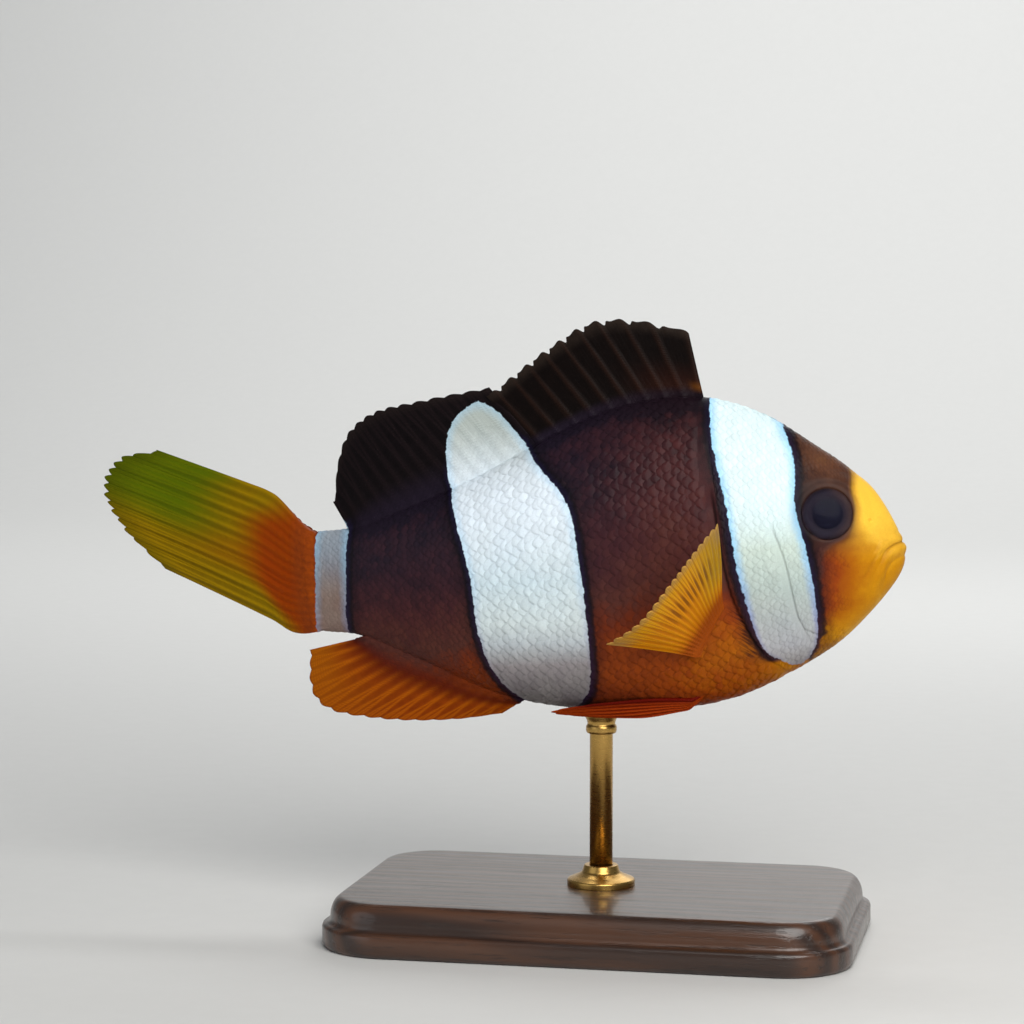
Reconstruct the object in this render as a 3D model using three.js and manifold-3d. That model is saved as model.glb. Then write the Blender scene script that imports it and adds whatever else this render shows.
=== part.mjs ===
// A life-size display model of a banded anemonefish, held up by a small museum stand.
// Millimetres, +Z up. The head points along +X and the right flank faces -Y.
// The origin is the centre of the stand base's underside, straight below the rod.
//
// The fish is modelled straight first, in its own frame: x is minus the distance behind the
// snout tip, y is to its left and z is up from the line through its mouth and tail stem.
// pose() then bends the tail sideways, tips the head up and lifts the fish onto its rod.
import * as THREE from 'three';
import { LoftGeometry } from 'three/addons/geometries/LoftGeometry.js';
import { mergeVertices } from 'three/addons/utils/BufferGeometryUtils.js';
import Module from 'manifold-3d';

const wasm = await Module();
wasm.setup();

// ---------- Driving dimensions ----------

const BODY_LENGTH = 79; // snout tip to the root of the tail fin
const NOSE_LENGTH = 8; // over which the snout rounds off
const GAP = 0.3; // between two pieces that touch
const WEB_THICKNESS = 0.55; // of the membrane between fin rays
const PART_REACH = 30; // how far the cutting shapes reach out past the body

const EYE = { s: 8.9, z: 4.85, radius: 3.6, depth: 2.7, bulge: 0.9 };
const GILL_COVER_THICKNESS = 1.1;
const TAIL_STEM_START = 66; // distance behind the snout where the trunk ends

const HEAD_UP = 4.6; // degrees
const TAIL_BENDS = [
  { from: 30, to: 78, turn: 9 }, // degrees, away to the left
  { from: 80, to: 108, turn: -6 }, // and the fin trails back
];

const ROD = { s: 39, radius: 1.5 };
const AXIS_HEIGHT = 48.4; // of the body's axis over the floor, above the rod
const BASE = { length: 68, width: 42, height: 6.5, corner: 9, bevel: 1.2 };
const COLLAR = { radius: 4.4, height: 2.6, lip: 0.8 };
const STAND_JOINT = 0.05; // clearance between the stand's own turned pieces

// The body's outline at named places: distance behind the snout, height of the back and depth
// of the belly from the axis, and half of the width.
const STATIONS = [
  { s: 0, back: 6.2, belly: 6.6, side: 3.6 }, // lips
  { s: 3, back: 9.0, belly: 8.0, side: 4.2 }, // mouth corner
  { s: 6, back: 10.4, belly: 9.7, side: 4.8 }, // nostril
  { s: 10, back: 13.3, belly: 12.5, side: 5.7 }, // eye
  { s: 16, back: 17.7, belly: 15.7, side: 6.9 }, // cheek
  { s: 22, back: 20.3, belly: 18.1, side: 7.7 }, // nape
  { s: 28, back: 21.2, belly: 19.2, side: 8.2 }, // shoulder
  { s: 36, back: 20.3, belly: 19.1, side: 8.4 }, // deepest place
  { s: 44, back: 17.5, belly: 18.7, side: 7.8 }, // behind the belly
  { s: 54, back: 13.1, belly: 16.4, side: 6.3 }, // front of the anal fin
  { s: 64, back: 9.5, belly: 11.8, side: 4.3 }, // rear of the body
  { s: 73, back: 6.9, belly: 7.8, side: 2.7 }, // tail stem
  { s: BODY_LENGTH, back: 6.6, belly: 7.0, side: 1.7 }, // root of the tail fin
];

// ---------- The straight body ----------

const radians = THREE.MathUtils.degToRad;
const { lerp, smoothstep } = THREE.MathUtils;

// A smooth curve through [x, value] pairs, with no overshoot outside its ends.
function curve(pairs, x) {
  const last = pairs.length - 1;
  const at = THREE.MathUtils.clamp(x, pairs[0][0], pairs[last][0]);
  let i = 0;
  while (i < last - 1 && at > pairs[i + 1][0]) i += 1;
  const slope = (j) => {
    const before = pairs[Math.max(j - 1, 0)];
    const after = pairs[Math.min(j + 1, last)];
    return (after[1] - before[1]) / (after[0] - before[0]);
  };
  const span = pairs[i + 1][0] - pairs[i][0];
  const t = (at - pairs[i][0]) / span;
  const rise = t * t * (3 - 2 * t);
  const start = lerp(pairs[i][1], pairs[i + 1][1], rise);
  return start + span * t * (1 - t) * ((1 - t) * slope(i) - t * slope(i + 1));
}

const outline = (key, s) => curve(STATIONS.map((station) => [station.s, station[key]]), s);
const noseRound = (s) => Math.sqrt(1 - (1 - Math.min(Math.max(s, 0) / NOSE_LENGTH, 1)) ** 2);

// Height of the widest level: low at the mouth, a little above the axis along the trunk.
const middle = (s) => curve([[0, -1.2], [8, 0], [30, 1.2], [60, 0.4], [79, -0.2]], s);

// How sharp the back and the belly are: 1 is a plain oval and more is a keel.
const backEdge = (s) => curve([[0, 0.85], [12, 1], [28, 1.3], [66, 1.2], [79, 1]], s);
const bellyEdge = (s) => curve([[0, 0.85], [20, 0.95], [40, 0.95], [60, 1.15], [79, 1]], s);

// The outline at s, grown outwards by a margin.
function section(s, margin = 0) {
  const round = noseRound(s);
  const mid = middle(s);
  return {
    mid,
    back: (outline('back', s) - mid) * round + margin,
    belly: (outline('belly', s) + mid) * round + margin,
    side: outline('side', s) * round + margin,
    backEdge: backEdge(s),
    bellyEdge: bellyEdge(s),
  };
}

// A point of the body's surface: angle 0 is the back, 90 the left side, 180 the belly.
function surfacePoint(s, angle, margin = 0) {
  const ring = section(s, margin);
  const up = Math.cos(radians(angle));
  const out = Math.sin(radians(angle));
  const edge = up > 0 ? ring.backEdge : ring.bellyEdge;
  const y = Math.sign(out) * ring.side * Math.abs(out) ** edge;
  const z = ring.mid + up * (up > 0 ? ring.back : ring.belly);
  return new THREE.Vector3(-s, y, z);
}

// Half of the body's width at a height.
function halfWidth(s, z) {
  const ring = section(s);
  const above = z > ring.mid;
  const up = (z - ring.mid) / (above ? ring.back : ring.belly);
  return ring.side * Math.sqrt(Math.max(1 - up * up, 0)) ** (above ? ring.backEdge : ring.bellyEdge);
}

const backHeight = (s) => surfacePoint(s, 0).z;
const bellyHeight = (s) => surfacePoint(s, 180).z;

function bodyGeometry(margin = 0, sides = 28, rings = 34) {
  const sections = [];
  for (let i = 0; i <= rings; i += 1) {
    const t = i / rings;
    const s = lerp(0.05, BODY_LENGTH + Math.max(margin, 0), t * (0.45 + 0.55 * t));
    const ring = [];
    for (let j = 0; j < sides; j += 1) {
      ring.push(surfacePoint(s, (360 * j) / sides, margin));
    }
    sections.push(ring);
  }
  return new LoftGeometry(sections, { capStart: true, capEnd: true });
}

// ---------- Solids ----------

// Six times the volume inside a closed mesh: negative where its faces point inwards.
function signedVolume(geometry) {
  const { position } = geometry.attributes;
  const corner = [new THREE.Vector3(), new THREE.Vector3(), new THREE.Vector3()];
  let total = 0;
  for (let i = 0; i < geometry.index.count; i += 3) {
    corner.forEach((point, k) => point.fromBufferAttribute(position, geometry.index.getX(i + k)));
    total += corner[0].dot(corner[1].cross(corner[2]));
  }
  return total;
}

// The bare triangles of a geometry with shared vertices, facing outwards, without those that
// have no area.
function weld(geometry) {
  const bare = new THREE.BufferGeometry();
  bare.setAttribute('position', geometry.attributes.position.clone());
  bare.setIndex(geometry.index);
  const merged = mergeVertices(bare, 1e-4);
  const kept = [];
  for (let i = 0; i < merged.index.count; i += 3) {
    const [a, b, c] = merged.index.array.slice(i, i + 3);
    if (a !== b && b !== c && c !== a) kept.push(a, b, c);
  }
  merged.setIndex(kept);
  if (signedVolume(merged) < 0) merged.setIndex(kept.reverse());
  return merged;
}

function toSolid(geometry) {
  const welded = weld(geometry);
  const vertProperties = welded.attributes.position.array;
  const triVerts = new Uint32Array(welded.index.array);
  return new wasm.Manifold(new wasm.Mesh({ numProp: 3, vertProperties, triVerts }));
}

function toGeometry(solid) {
  const mesh = solid.getMesh();
  const geometry = new THREE.BufferGeometry();
  geometry.setAttribute('position', new THREE.BufferAttribute(mesh.vertProperties, 3));
  geometry.setIndex(new THREE.BufferAttribute(mesh.triVerts, 1));
  return geometry;
}

// A block with the side outline of the given [s, z] points, from one y to another.
function sideBlock(points, yFrom = -PART_REACH, yTo = PART_REACH) {
  const shape = new THREE.Shape(points.map(([s, z]) => new THREE.Vector2(-s, z)));
  const block = new THREE.ExtrudeGeometry(shape, { depth: yTo - yFrom, bevelEnabled: false });
  block.rotateX(Math.PI / 2);
  block.translate(0, yTo, 0);
  return toSolid(block);
}

// Points along a smooth line through the given [s, z] points.
function smoothLine(points, steps) {
  const line = new THREE.SplineCurve(points.map(([s, z]) => new THREE.Vector2(s, z)));
  return line.getPoints(steps).map((point) => [point.x, point.y]);
}

// ---------- Head, gill covers, lower jaw, trunk and tail stem ----------

const GILL_EDGE = [[24, 22], [23.4, 14], [22.6, 6], [21.9, -1], [20.6, -6.5], [18, -12.2], [13.4, -17]];
const CHEEK_GROOVE = [[22.4, 7.4], [19.6, 6.9], [17, 3], [15.6, -2], [14.8, -7], [14.6, -11.2], [16.4, -14]];
const GILL_COVER_MIDDLE = new THREE.Vector2(22, -4); // the groove grows away from here
const MOUTH_LINE = [[-1, 0.3], [1.2, 0.1], [3, -1.4], [4.3, -3.9], [5.8, -7.4], [8, -13]];

// Everything in front of the gill opening, moved back by a shift.
function frontBlock(shift) {
  const edge = smoothLine(GILL_EDGE, 14).map(([s, z]) => [s + shift, z]);
  const foot = [edge[edge.length - 1][0], -PART_REACH];
  return sideBlock([[-PART_REACH, PART_REACH], ...edge, foot, [-PART_REACH, -PART_REACH]]);
}

// The side region from the groove behind the cheek back past the gill opening, grown forwards
// by a margin.
function gillCoverBlock(side, margin) {
  const groove = smoothLine(CHEEK_GROOVE, 16).map(([s, z]) => {
    const away = new THREE.Vector2(s, z).sub(GILL_COVER_MIDDLE);
    away.setLength(away.length() + margin).add(GILL_COVER_MIDDLE);
    return [away.x, away.y];
  });
  const [top, bottom] = [groove[0], groove[groove.length - 1]];
  const outlinePoints = [[PART_REACH, top[1]], ...groove, [PART_REACH, bottom[1]]];
  return side < 0 ? sideBlock(outlinePoints, -PART_REACH, -1) : sideBlock(outlinePoints, 1, PART_REACH);
}

function jawBlock(margin) {
  const line = smoothLine(MOUTH_LINE, 12).map(([s, z]) => [s + margin, z + margin]);
  const foot = [line[line.length - 1][0], -PART_REACH];
  return sideBlock([[-PART_REACH, line[0][1]], ...line, foot, [-PART_REACH, -PART_REACH]]);
}

function behindBlock(s) {
  const far = BODY_LENGTH + PART_REACH;
  return sideBlock([[s, PART_REACH], [far, PART_REACH], [far, -PART_REACH], [s, -PART_REACH]]);
}

// An eyeball turned to lie flush with the cheek, grown by a margin.
function eyeGeometry(side, margin = 0) {
  const step = 0.2;
  const y = halfWidth(EYE.s, EYE.z);
  const slopeX = (halfWidth(EYE.s - step, EYE.z) - y) / step;
  const slopeZ = (halfWidth(EYE.s, EYE.z + step) - y) / step;
  const outward = new THREE.Vector3(-slopeX, 1, -slopeZ).normalize();
  const centre = new THREE.Vector3(-EYE.s, y, EYE.z).addScaledVector(outward, EYE.bulge - EYE.depth);
  outward.y *= side;
  centre.y *= side;
  const ball = new THREE.SphereGeometry(1, 16, 10);
  ball.scale(EYE.radius + margin, EYE.depth + margin, EYE.radius + margin);
  ball.applyQuaternion(new THREE.Quaternion().setFromUnitVectors(new THREE.Vector3(0, 1, 0), outward));
  ball.translate(centre.x, centre.y, centre.z);
  return ball;
}

const wholeBody = toSolid(bodyGeometry());
const coreSolid = (margin) => toSolid(bodyGeometry(margin, 20, 20));
const bodyClearance = toSolid(bodyGeometry(GAP));
const frontHalf = wholeBody.intersect(frontBlock(0));

function gillCoverSolid(side) {
  return frontHalf.intersect(gillCoverBlock(side, 0)).subtract(coreSolid(-GILL_COVER_THICKNESS));
}

function headSolid() {
  const innerCore = coreSolid(-GILL_COVER_THICKNESS - GAP);
  let head = frontHalf.subtract(jawBlock(GAP));
  for (const side of [-1, 1]) {
    head = head.subtract(gillCoverBlock(side, GAP).subtract(innerCore));
    head = head.subtract(toSolid(eyeGeometry(side, GAP)));
  }
  return head;
}

const jawSolid = () => frontHalf.intersect(jawBlock(0));
const trunkSolid = () => wholeBody.subtract(frontBlock(GAP)).subtract(behindBlock(TAIL_STEM_START));
const tailStemSolid = () => wholeBody.intersect(behindBlock(TAIL_STEM_START + GAP));

// ---------- Fins ----------

// A fin is a sheet of rays with membrane between them. place(u, t) is its middle surface: u runs
// from the first ray to the last and t from root to tip. The membrane stops short of the ray
// tips by the notch, and thick(t, isRay, u) is the fin's thickness. Past its first and last
// rays the sheet closes in a sharp edge.
function finGeometry({ rays, rows, place, thick, notch = 0, rootAt = 0 }) {
  const step = 1e-3;
  const columns = 2 * (rays - 1);
  const sections = [];
  for (let column = -1; column <= columns + 1; column += 1) {
    const edge = column < 0 ? -1 : Math.max(column - columns, 0);
    const u = THREE.MathUtils.clamp(column / columns, 0, 1);
    const isRay = column % 2 === 0 || edge !== 0;
    const near = [];
    const far = [];
    for (let row = 0; row <= rows; row += 1) {
      const t = lerp(rootAt, isRay ? 1 : 1 - notch, row / rows);
      const across = place(Math.min(u + step, 1), t).sub(place(Math.max(u - step, 0), t));
      const along = place(u, t + step).sub(place(u, t - step));
      const half = thick(t, isRay, u) / 2;
      const normal = across.clone().cross(along).setLength(edge === 0 ? half : 0);
      const point = place(u, t).addScaledVector(across.normalize(), (edge * half) / 2);
      near.push(point.clone().add(normal));
      far.push(point.clone().sub(normal));
    }
    sections.push([...near, ...far.reverse()]);
  }
  return new LoftGeometry(sections);
}

// Thickness of soft rays that rise out of a scaly sheath and thin out to the margin.
const softThickness = (root, ray) => (t, isRay) =>
  (isRay ? ray : WEB_THICKNESS) + (root - ray) * Math.exp(-7 * Math.max(t, 0));

// A fin on the midline: its rays stand on the edge of the body and lean back from upright.
function medianFin({ from, to, edge, up, lengths, leans, ...rest }) {
  const place = (u, t) => {
    const s = lerp(from, to, u);
    const lean = radians(curve(leans, u));
    const reach = curve(lengths, u) * t;
    return new THREE.Vector3(-s - reach * Math.sin(lean), 0, edge(s) + up * (GAP + reach * Math.cos(lean)));
  };
  return finGeometry({ place, ...rest });
}

function spinyDorsalFin() {
  return medianFin({
    from: 24.4,
    to: 46,
    edge: backHeight,
    up: 1,
    lengths: [[0, 8.2], [0.15, 10.4], [0.35, 11.6], [0.6, 10.4], [1, 8.6]],
    leans: [[0, 9], [0.12, 21], [0.45, 31], [1, 39]],
    rays: 10,
    rows: 4,
    notch: 0.06,
    thick: (t, isRay) => (isRay ? lerp(1.3, 0.6, t) : lerp(0.9, WEB_THICKNESS, t)),
  });
}

function softDorsalFin() {
  return medianFin({
    from: 46.9,
    to: 73.2,
    edge: backHeight,
    up: 1,
    lengths: [[0, 9.2], [0.25, 12], [0.5, 13.3], [0.72, 12], [0.88, 8.4], [1, 3.8]],
    leans: [[0, 38.5], [0.3, 39], [0.6, 34], [1, 30]],
    rays: 15,
    rows: 4,
    notch: 0.02,
    thick: softThickness(1.8, 0.85),
  });
}

function analFin() {
  return medianFin({
    from: 51.2,
    to: 72.4,
    edge: bellyHeight,
    up: -1,
    lengths: [[0, 3.2], [0.15, 6.2], [0.5, 11.8], [0.75, 14], [1, 8]],
    leans: [[0, 62], [0.5, 61], [0.75, 66], [1, 80]],
    rays: 15,
    rows: 4,
    notch: 0.02,
    thick: softThickness(1.8, 0.85),
  });
}

const CAUDAL = { rays: 15, rootHalf: 6.4, rise: 24.5, spread: -2.5, flareUp: 3.8, flareDown: 1.6, fold: 0.3 };

// The half-closed tail fin: its rays turn up together from the tail stem and fold like a fan.
function caudalPlace(u, t) {
  const v = 2 * u - 1;
  const reach = curve([[0, 24], [0.2, 29.2], [0.55, 32.2], [0.85, 28.8], [1, 23]], u) * t;
  const angle = radians((CAUDAL.rise + CAUDAL.spread * v) * smoothstep(t, -0.15, 0.3));
  const flare = (v > 0 ? CAUDAL.flareUp : CAUDAL.flareDown) * smoothstep(t, -0.08, 0.22);
  const s = BODY_LENGTH + GAP + reach * Math.cos(angle);
  const z = -0.2 + v * (CAUDAL.rootHalf + flare) + reach * Math.sin(angle);
  const y = CAUDAL.fold * smoothstep(t, 0, 0.5) * Math.cos(Math.PI * u * (CAUDAL.rays - 1));
  return new THREE.Vector3(-s, y, z);
}

function caudalFin() {
  const sheath = softThickness(2.6, 0.9);
  const thick = (t, isRay, u) => sheath(t, isRay) * lerp(1, 0.55, (2 * u - 1) ** 4);
  return finGeometry({ rays: CAUDAL.rays, rows: 6, place: caudalPlace, thick, notch: 0.02 });
}

// A pectoral fin: a cupped fan spread out from the flank, its first ray up and its last back.
function pectoralPlace(side) {
  const roots = { top: [23, -5.3], bottom: [27.1, -11.7] };
  return (u, t) => {
    const s = lerp(roots.top[0], roots.bottom[0], u);
    const z = lerp(roots.top[1], roots.bottom[1], u);
    const ahead = curve([[0, 0.21], [0.25, 0.09], [0.5, -0.01], [0.75, -0.2], [0.88, -0.36], [1, -0.59]], u);
    const up = curve([[0, 0.67], [0.25, 0.48], [0.5, 0.4], [0.75, 0.3], [1, 0.23]], u);
    const ray = new THREE.Vector3(ahead, side * Math.sqrt(1 - ahead * ahead - up * up), up);
    const reach = curve([[0, 16], [0.25, 18.9], [0.5, 18.4], [0.75, 15.8], [1, 12.8]], u) * t;
    const root = new THREE.Vector3(-s - 1.2 * t * t, side * halfWidth(s, z), z);
    return root.addScaledVector(ray, reach);
  };
}

function pectoralFin(side) {
  const thick = (t, isRay) => (isRay ? 0.8 : WEB_THICKNESS) + 1.1 * Math.exp(-9 * Math.max(t, 0));
  const place = pectoralPlace(side);
  const fan = finGeometry({ rays: 18, rows: 4, place, thick, notch: 0.03, rootAt: -0.08 });
  return toGeometry(toSolid(fan).subtract(bodyClearance));
}

// A pelvic fin folded back along the belly, its spine along the upper edge.
function pelvicPlace(side) {
  return (u, t) => {
    const reach = curve([[0, 13], [0.4, 18.5], [0.7, 19], [1, 14.5]], u);
    const s = lerp(27.6, 26.6, u) + reach * t;
    const spread = smoothstep(t, -0.1, 0.6);
    const y = lerp(lerp(2.1, 2.9, u), lerp(2.5, 4.1, u), spread);
    const z = lerp(lerp(-18.9, -17.8, u), lerp(-20, -17.3, u), spread);
    return new THREE.Vector3(-s, side * y, z - 0.9 * (u - 0.5) * t * t);
  };
}

function pelvicFin(side) {
  const thick = (t, isRay) => (isRay ? 0.8 : WEB_THICKNESS) + 0.6 * Math.exp(-8 * Math.max(t, 0));
  const place = pelvicPlace(side);
  const blade = finGeometry({ rays: 6, rows: 5, place, thick, notch: 0.03, rootAt: -0.05 });
  return toGeometry(toSolid(blade).subtract(bodyClearance));
}

// ---------- Pose ----------

// Where a place on the straight body's axis goes when the tail bends: x, y and heading.
function bentAxis(s) {
  const place = { x: 0, y: 0, heading: 0 };
  let done = 0;
  const forward = (length) => {
    place.x -= length * Math.cos(place.heading);
    place.y += length * Math.sin(place.heading);
  };
  for (const bend of TAIL_BENDS) {
    if (s <= bend.from) break;
    forward(bend.from - done);
    done = Math.min(s, bend.to);
    const rate = radians(bend.turn) / (bend.to - bend.from);
    const heading = place.heading + rate * (done - bend.from);
    place.x -= (Math.sin(heading) - Math.sin(place.heading)) / rate;
    place.y -= (Math.cos(heading) - Math.cos(place.heading)) / rate;
    place.heading = heading;
  }
  if (s > done) forward(s - done);
  return place;
}

function pose(point) {
  const axis = bentAxis(-point.x);
  const x = axis.x + point.y * Math.sin(axis.heading) - bentAxis(ROD.s).x;
  const y = axis.y + point.y * Math.cos(axis.heading) - bentAxis(ROD.s).y;
  const posed = new THREE.Vector3(x, y, point.z);
  posed.applyAxisAngle(new THREE.Vector3(0, 1, 0), radians(-HEAD_UP));
  posed.z += AXIS_HEIGHT;
  return posed;
}

function posed(geometry) {
  const result = weld(geometry);
  const position = result.attributes.position;
  const point = new THREE.Vector3();
  for (let i = 0; i < position.count; i += 1) {
    const place = pose(point.fromBufferAttribute(position, i));
    position.setXYZ(i, place.x, place.y, place.z);
  }
  result.computeVertexNormals();
  return result;
}

// ---------- Stand ----------

function standBase() {
  const { length, width, height, corner, bevel } = BASE;
  const x = length / 2 - bevel;
  const y = width / 2 - bevel;
  const shape = new THREE.Shape();
  shape.moveTo(-x + corner, -y);
  shape.lineTo(x - corner, -y);
  shape.absarc(x - corner, -y + corner, corner, -Math.PI / 2, 0);
  shape.absarc(x - corner, y - corner, corner, 0, Math.PI / 2);
  shape.absarc(-x + corner, y - corner, corner, Math.PI / 2, Math.PI);
  shape.absarc(-x + corner, -y + corner, corner, Math.PI, 1.5 * Math.PI);
  const slab = new THREE.ExtrudeGeometry(shape, {
    depth: height - 2 * bevel,
    bevelThickness: bevel,
    bevelSize: bevel,
    bevelSegments: 2,
    curveSegments: 5,
  });
  slab.translate(0, 0, bevel);
  return slab;
}

function standCollar() {
  const { radius, height, lip } = COLLAR;
  const bore = ROD.radius + STAND_JOINT;
  const profile = [
    [bore, 0],
    [radius, 0],
    [radius, lip],
    [lerp(bore, radius, 0.55), lip * 1.6],
    [lerp(bore, radius, 0.3), height],
    [bore, height],
    [bore, 0],
  ];
  const ring = new THREE.LatheGeometry(profile.map(([r, h]) => new THREE.Vector2(r, h)), 20);
  ring.rotateX(Math.PI / 2);
  ring.translate(0, 0, BASE.height + STAND_JOINT);
  return ring;
}

function standRod() {
  const foot = BASE.height + STAND_JOINT;
  const top = pose(surfacePoint(ROD.s, 180)).z - GAP - ROD.radius * Math.tan(radians(HEAD_UP));
  const rod = new THREE.CylinderGeometry(ROD.radius, ROD.radius, top - foot, 20);
  rod.rotateX(Math.PI / 2);
  rod.translate(0, 0, (top + foot) / 2);
  return rod;
}

// ---------- The model ----------

const finish = (color, roughness, metalness = 0) =>
  new THREE.MeshStandardMaterial({ color, roughness, metalness });

const SNOUT_YELLOW = finish('#e0a93a', 0.4);
const CHEST_ORANGE = finish('#b8641c', 0.4);
const BAR_WHITE = finish('#d9ecf0', 0.35);
const BODY_BROWN = finish('#4a2c26', 0.4);
const TAIL_WHITE = finish('#b9c0c4', 0.4);
const FIN_DARK = finish('#2a1e1c', 0.5);
const FIN_YELLOW = finish('#d8a21e', 0.5);
const FIN_ORANGE = finish('#cc7418', 0.5);
const EYE_DARK = finish('#2c2422', 0.1);
const STAND_WOOD = finish('#3b2619', 0.5);
const STAND_METAL = finish('#b9974f', 0.3, 1);

const fish = new THREE.Group();
const stand = new THREE.Group();

function addFish(name, geometry, material) {
  const mesh = new THREE.Mesh(posed(geometry), material);
  mesh.name = name;
  fish.add(mesh);
}

function addStand(name, geometry, material) {
  const mesh = new THREE.Mesh(geometry, material);
  mesh.name = name;
  stand.add(mesh);
}

addFish('head', toGeometry(headSolid()), BAR_WHITE);
addFish('lower_jaw', toGeometry(jawSolid()), SNOUT_YELLOW);
addFish('trunk', toGeometry(trunkSolid()), BODY_BROWN);
addFish('tail_stem', toGeometry(tailStemSolid()), TAIL_WHITE);
addFish('dorsal_fin_spiny', spinyDorsalFin(), FIN_DARK);
addFish('dorsal_fin_soft', softDorsalFin(), FIN_DARK);
addFish('anal_fin', analFin(), FIN_ORANGE);
addFish('caudal_fin', caudalFin(), FIN_YELLOW);
for (const [side, word] of [[-1, 'right'], [1, 'left']]) {
  addFish(`gill_cover_${word}`, toGeometry(gillCoverSolid(side)), BAR_WHITE);
  addFish(`eye_${word}`, eyeGeometry(side), EYE_DARK);
  addFish(`pectoral_fin_${word}`, pectoralFin(side), FIN_YELLOW);
  addFish(`pelvic_fin_${word}`, pelvicFin(side), CHEST_ORANGE);
}
addStand('stand_base', standBase(), STAND_WOOD);
addStand('stand_collar', standCollar(), STAND_METAL);
addStand('stand_rod', standRod(), STAND_METAL);

const group = new THREE.Group();
group.add(fish, stand);

export default group;
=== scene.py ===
"""A life-size museum model of a banded anemonefish, held over a small wooden stand.

Shapes are worked out in the straight fish's own frame, in millimetres: x is minus the distance
behind the snout, y is to its left and z is up from its axis. pose() bends, tips and lifts them
onto the stand, in metres. In the names below, s is the distance behind the snout.
"""

import math

import bmesh
import bpy
import numpy as np
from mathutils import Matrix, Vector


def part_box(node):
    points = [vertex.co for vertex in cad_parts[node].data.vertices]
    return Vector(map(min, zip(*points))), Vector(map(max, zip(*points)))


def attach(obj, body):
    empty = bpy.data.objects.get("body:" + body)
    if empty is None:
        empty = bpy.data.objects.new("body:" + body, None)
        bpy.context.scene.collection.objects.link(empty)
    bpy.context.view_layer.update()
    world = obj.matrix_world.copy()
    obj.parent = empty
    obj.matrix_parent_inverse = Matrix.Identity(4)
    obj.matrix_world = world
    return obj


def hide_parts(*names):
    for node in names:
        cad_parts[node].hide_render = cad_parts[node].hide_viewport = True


bl_info = {
    "name": "Clownfish Display Model",
    "version": (1, 0, 0),
    "blender": (4, 5, 0),
    "location": "3D View > Sidebar > Clownfish",
    "description": "Builds a scaled, finned clownfish around its packed solids",
    "category": "Add Mesh",
}

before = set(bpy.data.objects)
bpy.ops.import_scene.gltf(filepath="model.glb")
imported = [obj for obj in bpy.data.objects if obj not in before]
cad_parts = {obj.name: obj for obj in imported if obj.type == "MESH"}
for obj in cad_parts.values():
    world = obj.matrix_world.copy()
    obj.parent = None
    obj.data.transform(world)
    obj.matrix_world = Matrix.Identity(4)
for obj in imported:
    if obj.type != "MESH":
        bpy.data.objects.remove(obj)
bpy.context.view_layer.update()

# ---------- Sizes of the straight fish, in millimetres ----------

BODY_LENGTH = 79.0
NOSE_LENGTH = 8.0
SKIN_END = 81.0  # where the flesh thins out between the tail fin's rays
GAP = 0.3  # between two solids that touch

STATIONS = (  # distance behind the snout: back, belly, half width
    (0, 6.2, 6.6, 3.6),
    (3, 9.0, 8.0, 4.2),
    (6, 10.4, 9.7, 4.8),
    (10, 13.3, 12.5, 5.7),
    (16, 17.7, 15.7, 6.9),
    (22, 20.3, 18.1, 7.7),
    (28, 21.2, 19.2, 8.2),
    (36, 20.3, 19.1, 8.4),
    (44, 17.5, 18.7, 7.8),
    (54, 13.1, 16.4, 6.3),
    (64, 9.5, 11.8, 4.3),
    (73, 6.9, 7.8, 2.7),
    (BODY_LENGTH, 6.6, 7.0, 1.7),
)
BACK = [(s, back) for s, back, _, _ in STATIONS]
BELLY = [(s, belly) for s, _, belly, _ in STATIONS]
SIDE = [(s, side) for s, _, _, side in STATIONS]
MIDDLE = ((0, -1.2), (8, 0), (30, 1.2), (60, 0.4), (79, -0.2))
BACK_EDGE = ((0, 0.85), (12, 1), (28, 1.3), (66, 1.2), (79, 1))
BELLY_EDGE = ((0, 0.85), (20, 0.95), (40, 0.95), (60, 1.15), (79, 1))
SKIN_DEPTH = ((0, 0.05), (5, 0.08), (10, 0.14), (24, 0.26), (64, 0.26), (79, 0.14))

EYE = {"s": 8.9, "z": 4.85, "radius": 3.65, "sink": -0.75, "depth": 1.6, "opening": 3.17, "pupil": 1.85}
NOSTRIL = (3.8, 3.6)  # place and height

LATERAL_LINE = ((20, 12.6), (26, 15.2), (34, 15.4), (44, 12.8), (54, 8.9), (60, 6.9))  # place: height
PECTORAL_ROOTS = ((23, -5.3), (27.1, -11.7))  # place and height of its top and bottom

# Lines over the flank, as (height, distance behind the snout) pairs.
GILL_EDGE = ((-17, 13.4), (-12.2, 18), (-6.5, 20.6), (-1, 21.9), (6, 22.6), (14, 23.4), (22, 24))
CHEEK_GROOVE = ((-10.5, 12.5), (-9.3, 12.9), (-7.7, 13.5), (-0.7, 14.5), (3.4, 15.7))
HEAD_BAR = (
    ((-14.8, 14.6), (-14, 13.5), (-11.1, 11.5), (-5.8, 11.2), (0.6, 11.75), (5.7, 12.75), (11.9, 12.75))
    + ((16.3, 14.2), (18.5, 15.2)),
    ((-14.8, 14.6), (-13.9, 15.4), (-11.8, 18), (-5.1, 19.8), (0, 20.6), (7.6, 21.4), (15.2, 22.8))
    + ((20.1, 23.2),),
)
MID_BAR = (
    ((-19, 44.2), (-15.8, 41), (-9, 40), (1.3, 40.2), (8.9, 41.6), (14.2, 46.2), (20.6, 51), (23, 52.6)),
    ((-19, 46.4), (-18.4, 48.8), (-14.1, 52.9), (-8.5, 54.6), (0.7, 55.1), (9.7, 57.6), (13, 58.6))
    + ((17.4, 58.5), (20, 57.4), (23, 55.2)),
)
TAIL_BAR = (((-7.5, 74.4), (0, 73.3), (6.9, 73)), ((-7.7, 79), (0, 78.1), (7.3, 77.8)))
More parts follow.
